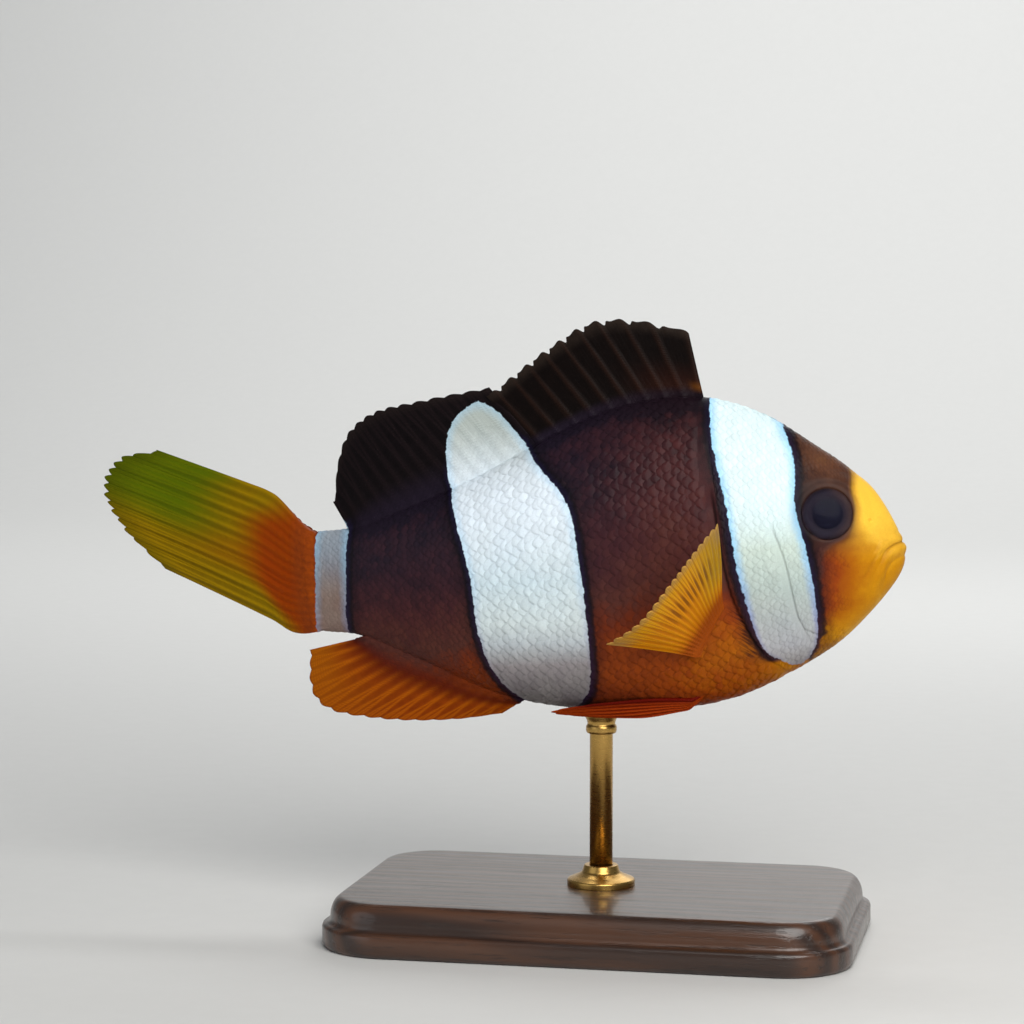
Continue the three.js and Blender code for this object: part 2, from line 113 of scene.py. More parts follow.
FACE_EDGE = ((-14, 13), (-11, 11.2), (-5, 10.9), (-2.2, 10.6), (-0.3, 10.2), (0.9, 9), (1.9, 7.0), (5, 5.8))
FACE_EDGE += ((7.5, 6.1), (10, 6.3), (14, 8.6))

MOUTH = ((-1, 0.5), (0, 0.5), (1.4, 0.1), (2.3, -0.6), (2.9, -1.5), (4.0, -3.3), (4.6, -4.6))  # place: height

# Warmth of the ground colour: 0 is dark brown, then red and orange, and 1 is yellow.
FACE_WARMTH = ((-14, 0.9), (-8, 0.86), (-3, 0.81), (0, 0.86), (3, 0.94), (6, 1))  # by height
FACE_RISE = ((-1, 0), (0, 0.12), (1.2, 0.42), (2.4, 0.6), (4.5, 0.82), (7.5, 1))  # by distance past its edge
TRUNK_RISE = ((16, 3), (24, 1.5), (34, 0), (44, 0), (54, 2.6), (64, 5.8), (79, 4))  # place: change of level
TRUNK_WARMTH = ((-19, 0.32), (-17, 0.36), (-15, 0.43), (-12, 0.43), (-8, 0.35), (-4, 0.22), (1, 0.13))
TRUNK_WARMTH += ((7, 0.07), (14, 0.03))
PECTORAL_WARMTH, TAIL_ROOT_WARMTH = 0.56, 0.48

HEAD_UP = math.radians(4.6)
TAIL_BENDS = ((30, 78, math.radians(9)), (80, 108, math.radians(-6)))  # start, end and turn
ROD = {"s": 39.0, "radius": 1.5}
SIDES = ((-1, "right"), (1, "left"))


# ---------- Small tools ----------


def curve(pairs, x):
    """A smooth curve through (x, value) pairs, flat outside them."""
    at, value = np.array(pairs, float).T
    last = len(at) - 1
    x = np.clip(np.asarray(x, float), at[0], at[-1])
    i = np.clip(np.searchsorted(at, x) - 1, 0, last - 1)
    after = np.minimum(np.arange(last + 1) + 1, last)
    before = np.maximum(np.arange(last + 1) - 1, 0)
    slope = (value[after] - value[before]) / (at[after] - at[before])
    span = at[i + 1] - at[i]
    t = (x - at[i]) / span
    rise = t * t * (3 - 2 * t)
    level = value[i] * (1 - rise) + value[i + 1] * rise
    return level + span * t * (1 - t) * ((1 - t) * slope[i] - t * slope[i + 1])


def ease(x, low, high):
    """0 at low, 1 at high and smooth between them; low may be the larger."""
    t = np.clip((x - low) / (high - low), 0, 1)
    return t * t * (3 - 2 * t)


def bell(x, width):
    return np.exp(-((x / width) ** 2))


def mix(a, b, t):
    return a + (b - a) * t


def unit(v):
    return v / np.maximum(np.linalg.norm(v, axis=-1, keepdims=True), 1e-12)


def paint(red, green, blue):
    """A linear colour from display values up to 255."""
    values = np.array((red, green, blue), float) / 255
    linear = np.where(values <= 0.04045, values / 12.92, ((values + 0.055) / 1.055) ** 2.4)
    return (*linear.tolist(), 1.0)


# ---------- Pose ----------


def bent_axis(s):
    """Where a place on the straight axis goes when the tail bends: x, y and heading."""
    x, y, heading, done = 0.0, 0.0, 0.0, 0.0
    for start, end, turn in TAIL_BENDS:
        straight = (np.clip(s, done, start) if done else np.minimum(s, start)) - done
        x = x - straight * np.cos(heading)
        y = y + straight * np.sin(heading)
        rate = turn / (end - start)
        turned = heading + rate * np.clip(s - start, 0, end - start)
        x = x - (np.sin(turned) - np.sin(heading)) / rate
        y = y - (np.cos(turned) - np.cos(heading)) / rate
        heading, done = turned, end
    straight = np.maximum(s - done, 0)
    return x - straight * np.cos(heading), y + straight * np.sin(heading), heading


ROD_LOW, ROD_HIGH = (np.array(corner) * 1000 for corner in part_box("stand_rod"))
ROD_X, ROD_Y = (ROD_LOW[:2] + ROD_HIGH[:2]) / 2
ROD_GAP = GAP + ROD["radius"] * math.tan(HEAD_UP)
AXIS_HEIGHT = ROD_HIGH[2] + ROD_GAP + float(curve(BELLY, ROD["s"])) * math.cos(HEAD_UP)


def pose(points):
    """Straight millimetres to posed metres."""
    points = np.asarray(points, float)
    x, y, heading = bent_axis(-points[..., 0])
    rod_x, rod_y, _ = bent_axis(np.float64(ROD["s"]))
    x = x + points[..., 1] * np.sin(heading) - rod_x
    y = y + points[..., 1] * np.cos(heading) - rod_y
    z = points[..., 2]
    posed = np.stack(
        (
            x * math.cos(HEAD_UP) - z * math.sin(HEAD_UP) + ROD_X,
            y + ROD_Y,
            x * math.sin(HEAD_UP) + z * math.cos(HEAD_UP) + AXIS_HEIGHT,
        ),
        axis=-1,
    )
    return posed / 1000


# ---------- The skin's surface ----------

NOSE_ROW = NOSE_LENGTH * math.pi / 2  # millimetres for each row unit behind the nose
ROW_START, ROW_END = 0.012, 1 + (SKIN_END - NOSE_LENGTH) / NOSE_ROW
CHART_ROWS, CHART_COLUMNS, CHART_ANGLES = 1000, 321, 721


def place_of_row(row):
    nose = NOSE_LENGTH * (1 - np.cos(np.pi / 2 * np.clip(row, 0, 1)))
    return np.where(row < 1, nose, NOSE_LENGTH + (row - 1) * NOSE_ROW)


def row_of_place(s):
    nose = np.arccos(np.clip(1 - s / NOSE_LENGTH, -1, 1)) / (math.pi / 2)
    return np.where(s < NOSE_LENGTH, nose, 1 + (s - NOSE_LENGTH) / NOSE_ROW)


def section(s, depth=1.0):
    """The outline's middle, its reach up, down and sideways, and how sharp its edges are."""
    round_nose = np.sqrt(np.clip(1 - (1 - np.clip(s / NOSE_LENGTH, 0, 1)) ** 2, 0, 1))
    inset = curve(SKIN_DEPTH, s) * depth
    mid = curve(MIDDLE, s)
    thinning = 76.5
    tail = np.clip((s - thinning) / (SKIN_END + 0.2 - thinning), 0, 1)
    up = (curve(BACK, s) - mid - inset) * round_nose * (1 - 0.13 * tail**2)
    down = (curve(BELLY, s) + mid - inset) * round_nose * (1 - 0.13 * tail**2)
    side = (curve(SIDE, s) - inset) * round_nose * np.sqrt(1 - tail**2)
    return mid, up, down, side, curve(BACK_EDGE, s), curve(BELLY_EDGE, s)


def half_width(s, z):
    """Half of the solid body's width at a height."""
    mid, up, down, side, back_edge, belly_edge = section(s, 0.0)
    above = z > mid
    level = (z - mid) / np.where(above, up, down)
    return side * np.sqrt(np.clip(1 - level**2, 0, 1)) ** np.where(above, back_edge, belly_edge)


def make_chart():
    """The left half of the plain skin and its normals, over rows and shares of its girth."""
    rows = np.linspace(ROW_START, ROW_END, CHART_ROWS)
    s = place_of_row(rows)[:, None]
    mid, up, down, side, back_edge, belly_edge = section(s)

    def outline(angle):
        cos, sin = np.cos(angle), np.clip(np.sin(angle), 0, 1)
        y = side * sin ** np.where(cos > 0, back_edge, belly_edge)
        return y, mid + cos * np.where(cos > 0, up, down)

    angle = np.broadcast_to(np.linspace(0, np.pi, CHART_ANGLES), (CHART_ROWS, CHART_ANGLES))
    y, z = outline(angle)
    step = np.hypot(np.diff(y, axis=1), np.diff(z, axis=1))
    arc = np.concatenate((np.zeros((CHART_ROWS, 1)), np.cumsum(step, axis=1)), axis=1)
    share = np.linspace(0, 1, CHART_COLUMNS)
    even = np.stack([np.interp(share * arc[i, -1], arc[i], angle[i]) for i in range(CHART_ROWS)])
    y, z = outline(even)
    base = np.stack((np.broadcast_to(-s, y.shape), y, z), axis=-1)
    normal = unit(np.cross(np.gradient(base, axis=1), np.gradient(base, axis=0)))
    normal[:, (0, -1), 1] = 0
    forward = np.array((1.0, 0.0, 0.0))
    normal = mix(forward, unit(normal), ease(rows, 0.01, 0.12)[:, None, None])
    return {"base": base, "normal": unit(normal), "girth": arc[:, -1]}


CHART = make_chart()


def sample(table, row, share):
    """A chart's table read between its rows and columns."""
    i = (row - ROW_START) / (ROW_END - ROW_START) * (CHART_ROWS - 1)
    j = np.clip(share, 0, 1) * (CHART_COLUMNS - 1)
    i0 = np.clip(np.floor(i).astype(int), 0, CHART_ROWS - 2)
    j0 = np.clip(np.floor(j).astype(int), 0, CHART_COLUMNS - 2)
    a, b = (i - i0)[..., None], (j - j0)[..., None]
    top = table[i0, j0] * (1 - b) + table[i0, j0 + 1] * b
    low = table[i0 + 1, j0] * (1 - b) + table[i0 + 1, j0 + 1] * b
    return top * (1 - a) + low * a


def eye_axis():
    """The left eye's place on the flank and the way it looks."""
    s, z, step = EYE["s"], EYE["z"], 0.2
    y = half_width(s, z)
    slope_x = (half_width(s - step, z) - y) / step
    slope_z = (half_width(s, z + step) - y) / step
    return np.array((-s, float(y), z)), unit(np.array((-float(slope_x), 1.0, -float(slope_z))))


EYE_PLACE, EYE_LOOK = eye_axis()


def from_eye(points):
    """Distance of points on the left side from the eye's axis."""
    away = points - EYE_PLACE
    return np.linalg.norm(away - (away @ EYE_LOOK)[..., None] * EYE_LOOK, axis=-1)


def from_line(pairs, at, value, step=0.05):
    """Distance of a value past the smooth line through (at, value) pairs."""
    slope = (curve(pairs, at + step) - curve(pairs, at - step)) / (2 * step)
    return (value - curve(pairs, at)) / np.sqrt(1 + slope**2)


def ball_level(radius):
    """The eye's clear front over the flank, at a distance from its axis."""
    return EYE["sink"] + EYE["depth"] * np.sqrt(np.clip(1 - (radius / EYE["radius"]) ** 2, 0, 1))


def from_pectoral(s, z):
    """Distance from the line on the flank where the pectoral fin is rooted."""
    top, bottom = np.array(PECTORAL_ROOTS)
    run = bottom - top
    t = np.clip(((s - top[0]) * run[0] + (z - top[1]) * run[1]) / (run @ run), 0.1, 0.9)
    return np.hypot(s - top[0] - t * run[0], z - top[1] - t * run[1])


def gill_edge(z):
    """How far behind the snout the gill cover's free edge is, with the notches of its lower part."""
    notches = np.abs((z * 0.9) % 1 - 0.5) * 0.36 * ease(z, 1, -6)
    return curve(GILL_EDGE, z) + notches


def relief(points):
    """How far the modelled skin stands over the plain one, and how much painted shade its creases get."""
    s, z = -points[..., 0], points[..., 2]
    # Lips, the slit between them and the fold of the upper jaw behind.
    mouth = from_line(MOUTH, s, z)
    lips = ease(s, 4.3, 3.1)
    slit = bell(mouth, 0.12) * ease(s, 3.4, 1.4)
    height = -0.28 * slit
    height += lips * (0.12 * bell(mouth - 0.6, 0.42) + 0.3 * bell(mouth + 0.75, 0.6))
    height -= 0.05 * bell(mouth - 1.35, 0.16) * ease(s, 3.6, 2.4)
    height -= 0.07 * bell(mouth + 1.75, 0.2) * ease(s, 3.4, 2.2)
    jaw = from_line(MOUTH, s - 1.15, z + 0.5)
    jaw_fold = bell(jaw, 0.18) * ease(s, 1.6, 2.6) * ease(s, 5.6, 4.6) * ease(z, 1.5, 0)
    height -= 0.06 * jaw_fold
    height += 0.06 * bell(jaw + 0.5, 0.4) * ease(s, 2.2, 3.2) * ease(s, 5.8, 4.6)
    folds = bell(mouth, 1.6) * ease(s, 0.8, 2) * ease(s, 5, 3.6)
    height += 0.018 * folds * np.sin(mouth * 15)
    # The eye's round opening, whose rim meets the eyeball, with faint rings of skin around it.
    eye = from_eye(points)
    over = (points - EYE_PLACE) @ EYE_LOOK
    rim = ball_level(np.float64(EYE["opening"])) + 0.02
    height += (rim - over) * ease(eye, 6.2, 3.2)
    lid = eye - EYE["opening"]
    lid_fold = bell(lid - 0.95, 0.18) * ease(z - EYE["z"], -1, 2)
    height += 0.015 * bell(lid - 0.45, 0.25) - 0.035 * lid_fold + 0.015 * bell(lid - 1.5, 0.25)
    height -= 1.1 * ease(eye, EYE["opening"] + 0.07, EYE["opening"] - 0.18)
    # The nostril, a pit with a low rim.
    away = np.hypot(s - NOSTRIL[0], z - NOSTRIL[1])
    height += 0.05 * bell(away - 0.3, 0.14) - 0.25 * bell(away, 0.2)
    # The groove in front of the gill cover, and the cheek muscle in front of that.
    groove = s - curve(CHEEK_GROOVE, z)
    along = ease(z, 4.4, 2.6) * ease(z, -11, -9.2)
    groove_line = bell(groove, 0.12) * along
    height -= 0.11 * groove_line
    height += 0.06 * bell(groove + 1.5, 1.1) * along
    # The gill cover's free edge, a step down to the shoulder.
    behind = s - gill_edge(z)
    open_edge = ease(z, 9.5, 6.5) * ease(z, -14.5, -11.5)
    height += open_edge * np.where(behind < 0, 0.1 * np.exp(np.minimum(behind, 0) / 1.7), 0)
    height -= open_edge * np.where(behind >= 0, 0.3 * ease(behind, 0, 0.2) * np.exp(-behind / 1.5), 0)
    # A painted shade line just behind the cover's free edge.
    gill_edge_shade = open_edge * bell(behind - 0.12, 0.16)
    # The fleshy base of the pectoral fin.
    height += 0.4 * bell(from_pectoral(s, z), 1.4)
    # Pores of the lateral line.
    line = z - curve(LATERAL_LINE, s)
    ends = ease(s, 22, 24) * ease(s, 61, 59)
    pores = bell(line, 0.22) * (0.5 + 0.5 * np.cos(s * 2 * math.pi / 1.55)) * ends
    height += 0.05 * bell(line, 0.45) * ends - 0.06 * pores
    # The cover's lower corner, where a fold runs forward under the cheek.
    corner = z + 9.6 + 0.53 * (12.8 - s)
    corner_line = bell(corner, 0.13) * ease(s, 9.6, 10.8) * ease(s, 13.1, 12.6)
    height -= 0.12 * corner_line
    # Painted shade in the creases: the mouth's slit, the jaw fold, the grooves, the gill cover's edge, the
    # eye's rim and a ring round its socket.
    crease_shade = slit * 0.45 + 0.15 * jaw_fold + 0.35 * (groove_line + corner_line) + gill_edge_shade
    socket = ease(lid, 2.2, 0.8) * ease(s, 5.5, 7)
    crease_shade = np.clip(crease_shade + 0.16 * ease(lid, 0.5, 0.1) + 0.16 * lid_fold + 0.2 * socket, 0, 1)
    return height, crease_shade


def skin_point(row, share, side, lift=0.0):
    """A point of the modelled skin on one side, lifted off it along the plain skin's normal."""
    base = sample(CHART["base"], row, share)
    normal = unit(sample(CHART["normal"], row, share))
    height, _ = relief(base)
    return (base + normal * (height + lift)[..., None]) * np.array((1, side, 1))


# ---------- Markings ----------


def soft_max(a, b, radius):
    """The larger of two, with the corner between them rounded."""
    return np.maximum(a, b) + radius / 4 * np.clip(1 - np.abs(a - b) / radius, 0, 1) ** 2


def bar_distance(s, z, bar, foot, top=30.0):
    """Millimetres outside a bar between its front and rear lines, less than 0 inside it."""
    front, rear = (from_line(line, z, s, 0.2) for line in bar)
    outside = soft_max(-front, rear, 1.2)
    return soft_max(soft_max(outside, foot - z, 1.2), z - top, 3.5)


def markings(points):
    """For each point: the distances outside the three bars, and the warmth of the ground colour
    from 0, dark brown, through red and orange to 1, yellow."""
    s, z = -points[..., 0], points[..., 2]
    head = bar_distance(s, z, HEAD_BAR, -14.6)
    mid = bar_distance(s, z, MID_BAR, -18.6, 22.6)
    tail = bar_distance(s, z, TAIL_BAR, -9.5, 8.6)
    # The face: dark up to an edge round the eye, then red, orange and yellow, with the top of the forehead
    # lifted towards a painted highlight.
    ahead = (curve(FACE_EDGE, z) - s) * mix(1, 6, ease(z, 0, 6)) + 4 * ease(z, -6, -11)
    face = 0.1 + 0.1 * ease(z, 8.5, 12.5) + (curve(FACE_WARMTH, z) - 0.1) * curve(FACE_RISE, ahead)
    # The trunk: dark above, warming down to the belly and towards the throat.
    trunk = curve(TRUNK_WARMTH, z + curve(TRUNK_RISE, s))
    chest = ease(z, -1, -9) * ease(s, 34, 20) * mix(0.07, 0.2, ease(z, -15, -10))
    chest += 0.14 * ease(s, 21, 15) * ease(z, -8, -12)
    trunk += chest + 0.07 * ease(s, 40, 26) * ease(z, 19, 12)
    trunk -= 0.1 * ease(z - curve(BACK, s), -3, -0.5) * ease(s, 23, 27)
    trunk = mix(trunk, PECTORAL_WARMTH, 0.7 * bell(from_pectoral(s, z), 2.2) * ease(z, -4, -7))
    trunk = mix(trunk, TAIL_ROOT_WARMTH, ease(s, 77, 78.3))
    return np.stack((head, mid, tail), axis=-1), mix(face, trunk, ease(s, 12, 15))


# ---------- Meshes ----------


def make_mesh(name, points, faces, values=None, uv=None):
    """A smooth mesh object from posed points, arrays of faces, point values and corner UVs."""
    mesh = bpy.data.meshes.new(name)
    corners = np.concatenate([group.ravel() for group in faces])
    sizes = np.concatenate([np.full(len(group), group.shape[1]) for group in faces])
    mesh.vertices.add(len(points))
    mesh.vertices.foreach_set("co", np.asarray(points, np.float32).ravel())
    mesh.loops.add(len(corners))
    mesh.loops.foreach_set("vertex_index", corners.astype(np.int32))
    mesh.polygons.add(len(sizes))
    mesh.polygons.foreach_set("loop_start", (np.cumsum(sizes) - sizes).astype(np.int32))
    mesh.update(calc_edges=True)
    mesh.polygons.foreach_set("use_smooth", np.ones(len(sizes), bool))
    for key, value in (values or {}).items():
        value = np.asarray(value, np.float32)
        kind = "FLOAT" if value.ndim == 1 else "FLOAT_VECTOR"
        field = "value" if value.ndim == 1 else "vector"
        mesh.attributes.new(key, kind, "POINT").data.foreach_set(field, value.ravel())
    if uv is not None:
        mesh.uv_layers.new(name="OFBake").data.foreach_set("uv", np.asarray(uv, np.float32).ravel())
    piece = bpy.data.objects.new(name, mesh)
    bpy.context.scene.collection.objects.link(piece)
    return piece


def finish_piece(piece, material, slot, *nodes):
    """Gives a piece its finish and body, and hides the solids' nodes that it stands for; slot is not used."""
    piece.data.materials.append(material)
    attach(piece, "root")
    if nodes:
        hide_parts(*nodes)
    return piece


def grid_faces(rows, columns, start=0, closed=False):
    """Quads between neighbours of a grid whose vertices run along its columns first."""
    index = start + np.arange(rows * columns).reshape(rows, columns)
    if closed:
        index = np.concatenate((index, index[:, :1]), axis=1)
    return np.stack((index[:-1, :-1], index[:-1, 1:], index[1:, 1:], index[1:, :-1]), axis=-1).reshape(-1, 4)


def end_caps(rings, around):
    """Polygons over the small holes at the two ends of a turned surface."""
    first = np.arange(around)[None]
    return [first, first + (rings - 1) * around]


def rim_loop(index):
    """The vertices round the edge of a grid, in order."""
    return np.concatenate((index[0, :-1], index[:-1, -1], index[-1, :0:-1], index[:0:-1, 0]))


def fish_values(points, crease_shade=0.0, tone=0.0, edge=0.0):
    """The point values that the fish's materials read."""
    bars, warm = markings(points)
    values = {"place": points, "bars": bars, "warm": warm}
    for name, value in (("crease_shade", crease_shade), ("tone", tone), ("edge", edge)):
        values[name] = np.broadcast_to(value, len(points))
    return values


def spread(values, low, high):
    """Values moved and scaled to lie from low to high."""
    return mix(low, high, (values - values.min()) / np.ptp(values))


# ---------- Node tools ----------


class Field:
    """A value that varies over a surface; arithmetic on fields adds the nodes that it needs."""

    def __init__(self, socket):
        self.socket, self.tree = socket, socket.id_data

    def join(self, operation, first, second=0.0):
        return add_node(self.tree, "Math", {0: first, 1: second}, operation=operation)[0]

    def __add__(self, other):
        return self.join("ADD", self, other)

    def __sub__(self, other):
        return self.join("SUBTRACT", self, other)

    def __rsub__(self, other):
        return self.join("SUBTRACT", other, self)

    def __mul__(self, other):
        return self.join("MULTIPLY", self, other)

    def least(self, other):
        return self.join("MINIMUM", self, other)

    def most(self, other):
        return self.join("MAXIMUM", self, other)

    def single(self, operation):
        return self.join(operation, self)

    def clamped(self):
        """Keeps the sum or product that was just made between 0 and 1."""
        self.socket.node.use_clamp = True
        return self

    def fade(self, start, end, low=0.0, high=1.0):
        """low at start, high at end, and smooth between them."""
        inputs = {0: self, 1: start, 2: end, 3: low, 4: high}
        return add_node(self.tree, "MapRange", inputs, interpolation_type="SMOOTHSTEP")[0]

    def ramp(self, *stops):
        """A colour ramp through (position, colour) stops."""
        node = self.tree.nodes.new("ShaderNodeValToRGB")
        plug(node, {0: self})
        elements = node.color_ramp.elements
        while len(elements) < len(stops):
            elements.new(0.5)
        for element, (position, colour) in zip(elements, stops):
            element.position, element.color = position, colour
        return Field(node.outputs[0])


def plug(node, inputs):
    """Sets a node's inputs, by name or number, to values or links them to fields."""
    for key, value in inputs.items():
        if isinstance(value, Field):
            value.tree.links.new(value.socket, node.inputs[key])
        else:
            node.inputs[key].default_value = value


def add_node(tree, kind, inputs, **settings):
    """The outputs of a new shader node, as fields."""
    node = tree.nodes.new("ShaderNode" + kind)
    for key, value in settings.items():
        setattr(node, key, value)
    plug(node, inputs)
    return [Field(socket) for socket in node.outputs]


def blend(factor, a, b, kind="MIX"):
    """Colour a turning to colour b as the factor goes from 0 to 1."""
    return add_node(factor.tree, "Mix", {0: factor, 6: a, 7: b}, data_type="RGBA", blend_type=kind)[2]


def attribute(tree, name, output="Fac"):
    """One of the values that the mesh carries at its points."""
    node = tree.nodes.new("ShaderNodeAttribute")
    node.attribute_name = name
    return Field(node.outputs[output])


def noise(vector, scale, detail=3.0, roughness=0.55):
    """Noise from 0 to 1 over a place; on the fish, a place and a scale are in millimetres."""
    inputs = {"Vector": vector, "Scale": scale, "Detail": detail, "Roughness": roughness}
    return add_node(vector.tree, "TexNoise", inputs)[0]


def stretch(vector, scale):
    return add_node(vector.tree, "Mapping", {"Vector": vector, "Scale": scale})[0]


def split(vector):
    return add_node(vector.tree, "SeparateXYZ", {0: vector})


def bump(height, strength, distance):
    return add_node(height.tree, "Bump", {"Height": height, "Strength": strength, "Distance": distance})[0]


def finish(surface, colour, rough, normal):
    """Links a shader's varying looks."""
    plug(surface, {"Base Color": colour, "Roughness": rough, "Normal": normal})


def object_place(tree):
    """The place on a piece, in metres."""
    return Field(tree.nodes.new("ShaderNodeTexCoord").outputs["Object"])


def new_group(name, inputs, outputs):
    """A shader node group with named sockets: the group, its inputs as fields and its end."""
    group = bpy.data.node_groups.new(name, "ShaderNodeTree")
    for direction, sockets in (("INPUT", inputs), ("OUTPUT", outputs)):
        for socket, kind, *value in sockets:
            made = group.interface.new_socket(socket, in_out=direction, socket_type="NodeSocket" + kind)
            if value:
                made.default_value = value[0]
    start, end = group.nodes.new("NodeGroupInput"), group.nodes.new("NodeGroupOutput")
    return group, {socket.name: Field(socket) for socket in start.outputs if socket.name}, end


def use_group(tree, group, inputs):
    """The outputs of a group placed in a material, as fields by name."""
    node = tree.nodes.new("ShaderNodeGroup")
    node.node_tree = group
    plug(node, inputs)
    return {socket.name: Field(socket) for socket in node.outputs}


def new_material(name):
    """A material, its node tree and its shader."""
    material = bpy.data.materials.new(name)
    material.use_nodes = True
    tree = material.node_tree
    return material, tree, tree.nodes["Principled BSDF"]


# ---------- Settings ----------


def colour_property(name, description, colour):
    return bpy.props.FloatVectorProperty(
        name=name, description=description, subtype="COLOR", size=4, min=0, max=1, default=colour
    )


class FishColours(bpy.types.PropertyGroup):
    """Ground colours and markings of the fish."""

    shade: colour_property("Shade", "Darkest brown of the flank", paint(27, 16, 23))
    brown: colour_property("Brown", "Brown of the flank", paint(70, 34, 35))
    # Forehead: a painted highlight, lighter brown over the top of the head.
    forehead_highlight: colour_property("Forehead", "Lighter brown of the forehead", paint(98, 62, 44))
    red: colour_property("Red", "Red-brown under the flank", paint(110, 43, 17))
    rust: colour_property("Rust", "Rust red of the cheek and belly", paint(144, 62, 10))
    orange: colour_property("Orange", "Orange of the chest", paint(168, 94, 4))
    amber: colour_property("Amber", "Amber of the lips and chin", paint(198, 134, 8))
    yellow: colour_property("Yellow", "Yellow of the snout", paint(250, 198, 66))
    bar: colour_property("Bar", "White of the bars", paint(224, 247, 253))
    # Lower bar: a lilac grey, its darkening painted shade under the body.
    shaded_bar_low: colour_property("Lower bar", "Grey of the bars' lower ends", paint(168, 170, 178))
    rim: colour_property("Rim", "Blue sheen at the bars' edges", paint(150, 214, 255))
    rim_low: colour_property("Lower rim", "Violet sheen at the bars' lower edges", paint(128, 124, 178))
    border: colour_property("Border", "Black border of the bars", paint(16, 11, 18))


class FishSizes(bpy.types.PropertyGroup):
    """Sizes of the coat of scales."""

    head_rows: bpy.props.IntProperty(
        name="Head rows", description="Rows of scales from back to throat on each side", default=38, min=8
    )
    body_rows: bpy.props.IntProperty(
        name="Body rows", description="Rows of scales from back to belly on each side", default=31, min=8
    )
    scale_lift: bpy.props.FloatProperty(
        name="Scale lift", description="Height of a scale's rear edge", unit="LENGTH", default=0.00012
    )


class StandColours(bpy.types.PropertyGroup):
    """Finishes of the stand."""

    wood_dark: colour_property("Dark grain", "Dark grain of the wood", paint(44, 26, 17))
    wood_light: colour_property("Light grain", "Light grain of the wood", paint(98, 60, 36))
    brass: colour_property("Brass", "Colour of the rod and collar", paint(206, 168, 96))


def power_property(name, description, default):
    return bpy.props.FloatProperty(name=name, description=description, unit="POWER", default=default)


class StudioSettings(bpy.types.PropertyGroup):
    """Floor and lamps."""

    floor: colour_property("Floor", "Pale floor and backdrop", paint(218, 218, 216))
    key_power: power_property("Key light", "Power of the main lamp", 1.25)
    fill_power: power_property("Fill light", "Power of the fill lamp", 0.5)
    rim_power: power_property("Rim light", "Power of the lamp behind", 0.3)
    backdrop_power: power_property("Backdrop light", "Power of the lamp on the backdrop", 9.0)


# ---------- Shared shader groups ----------


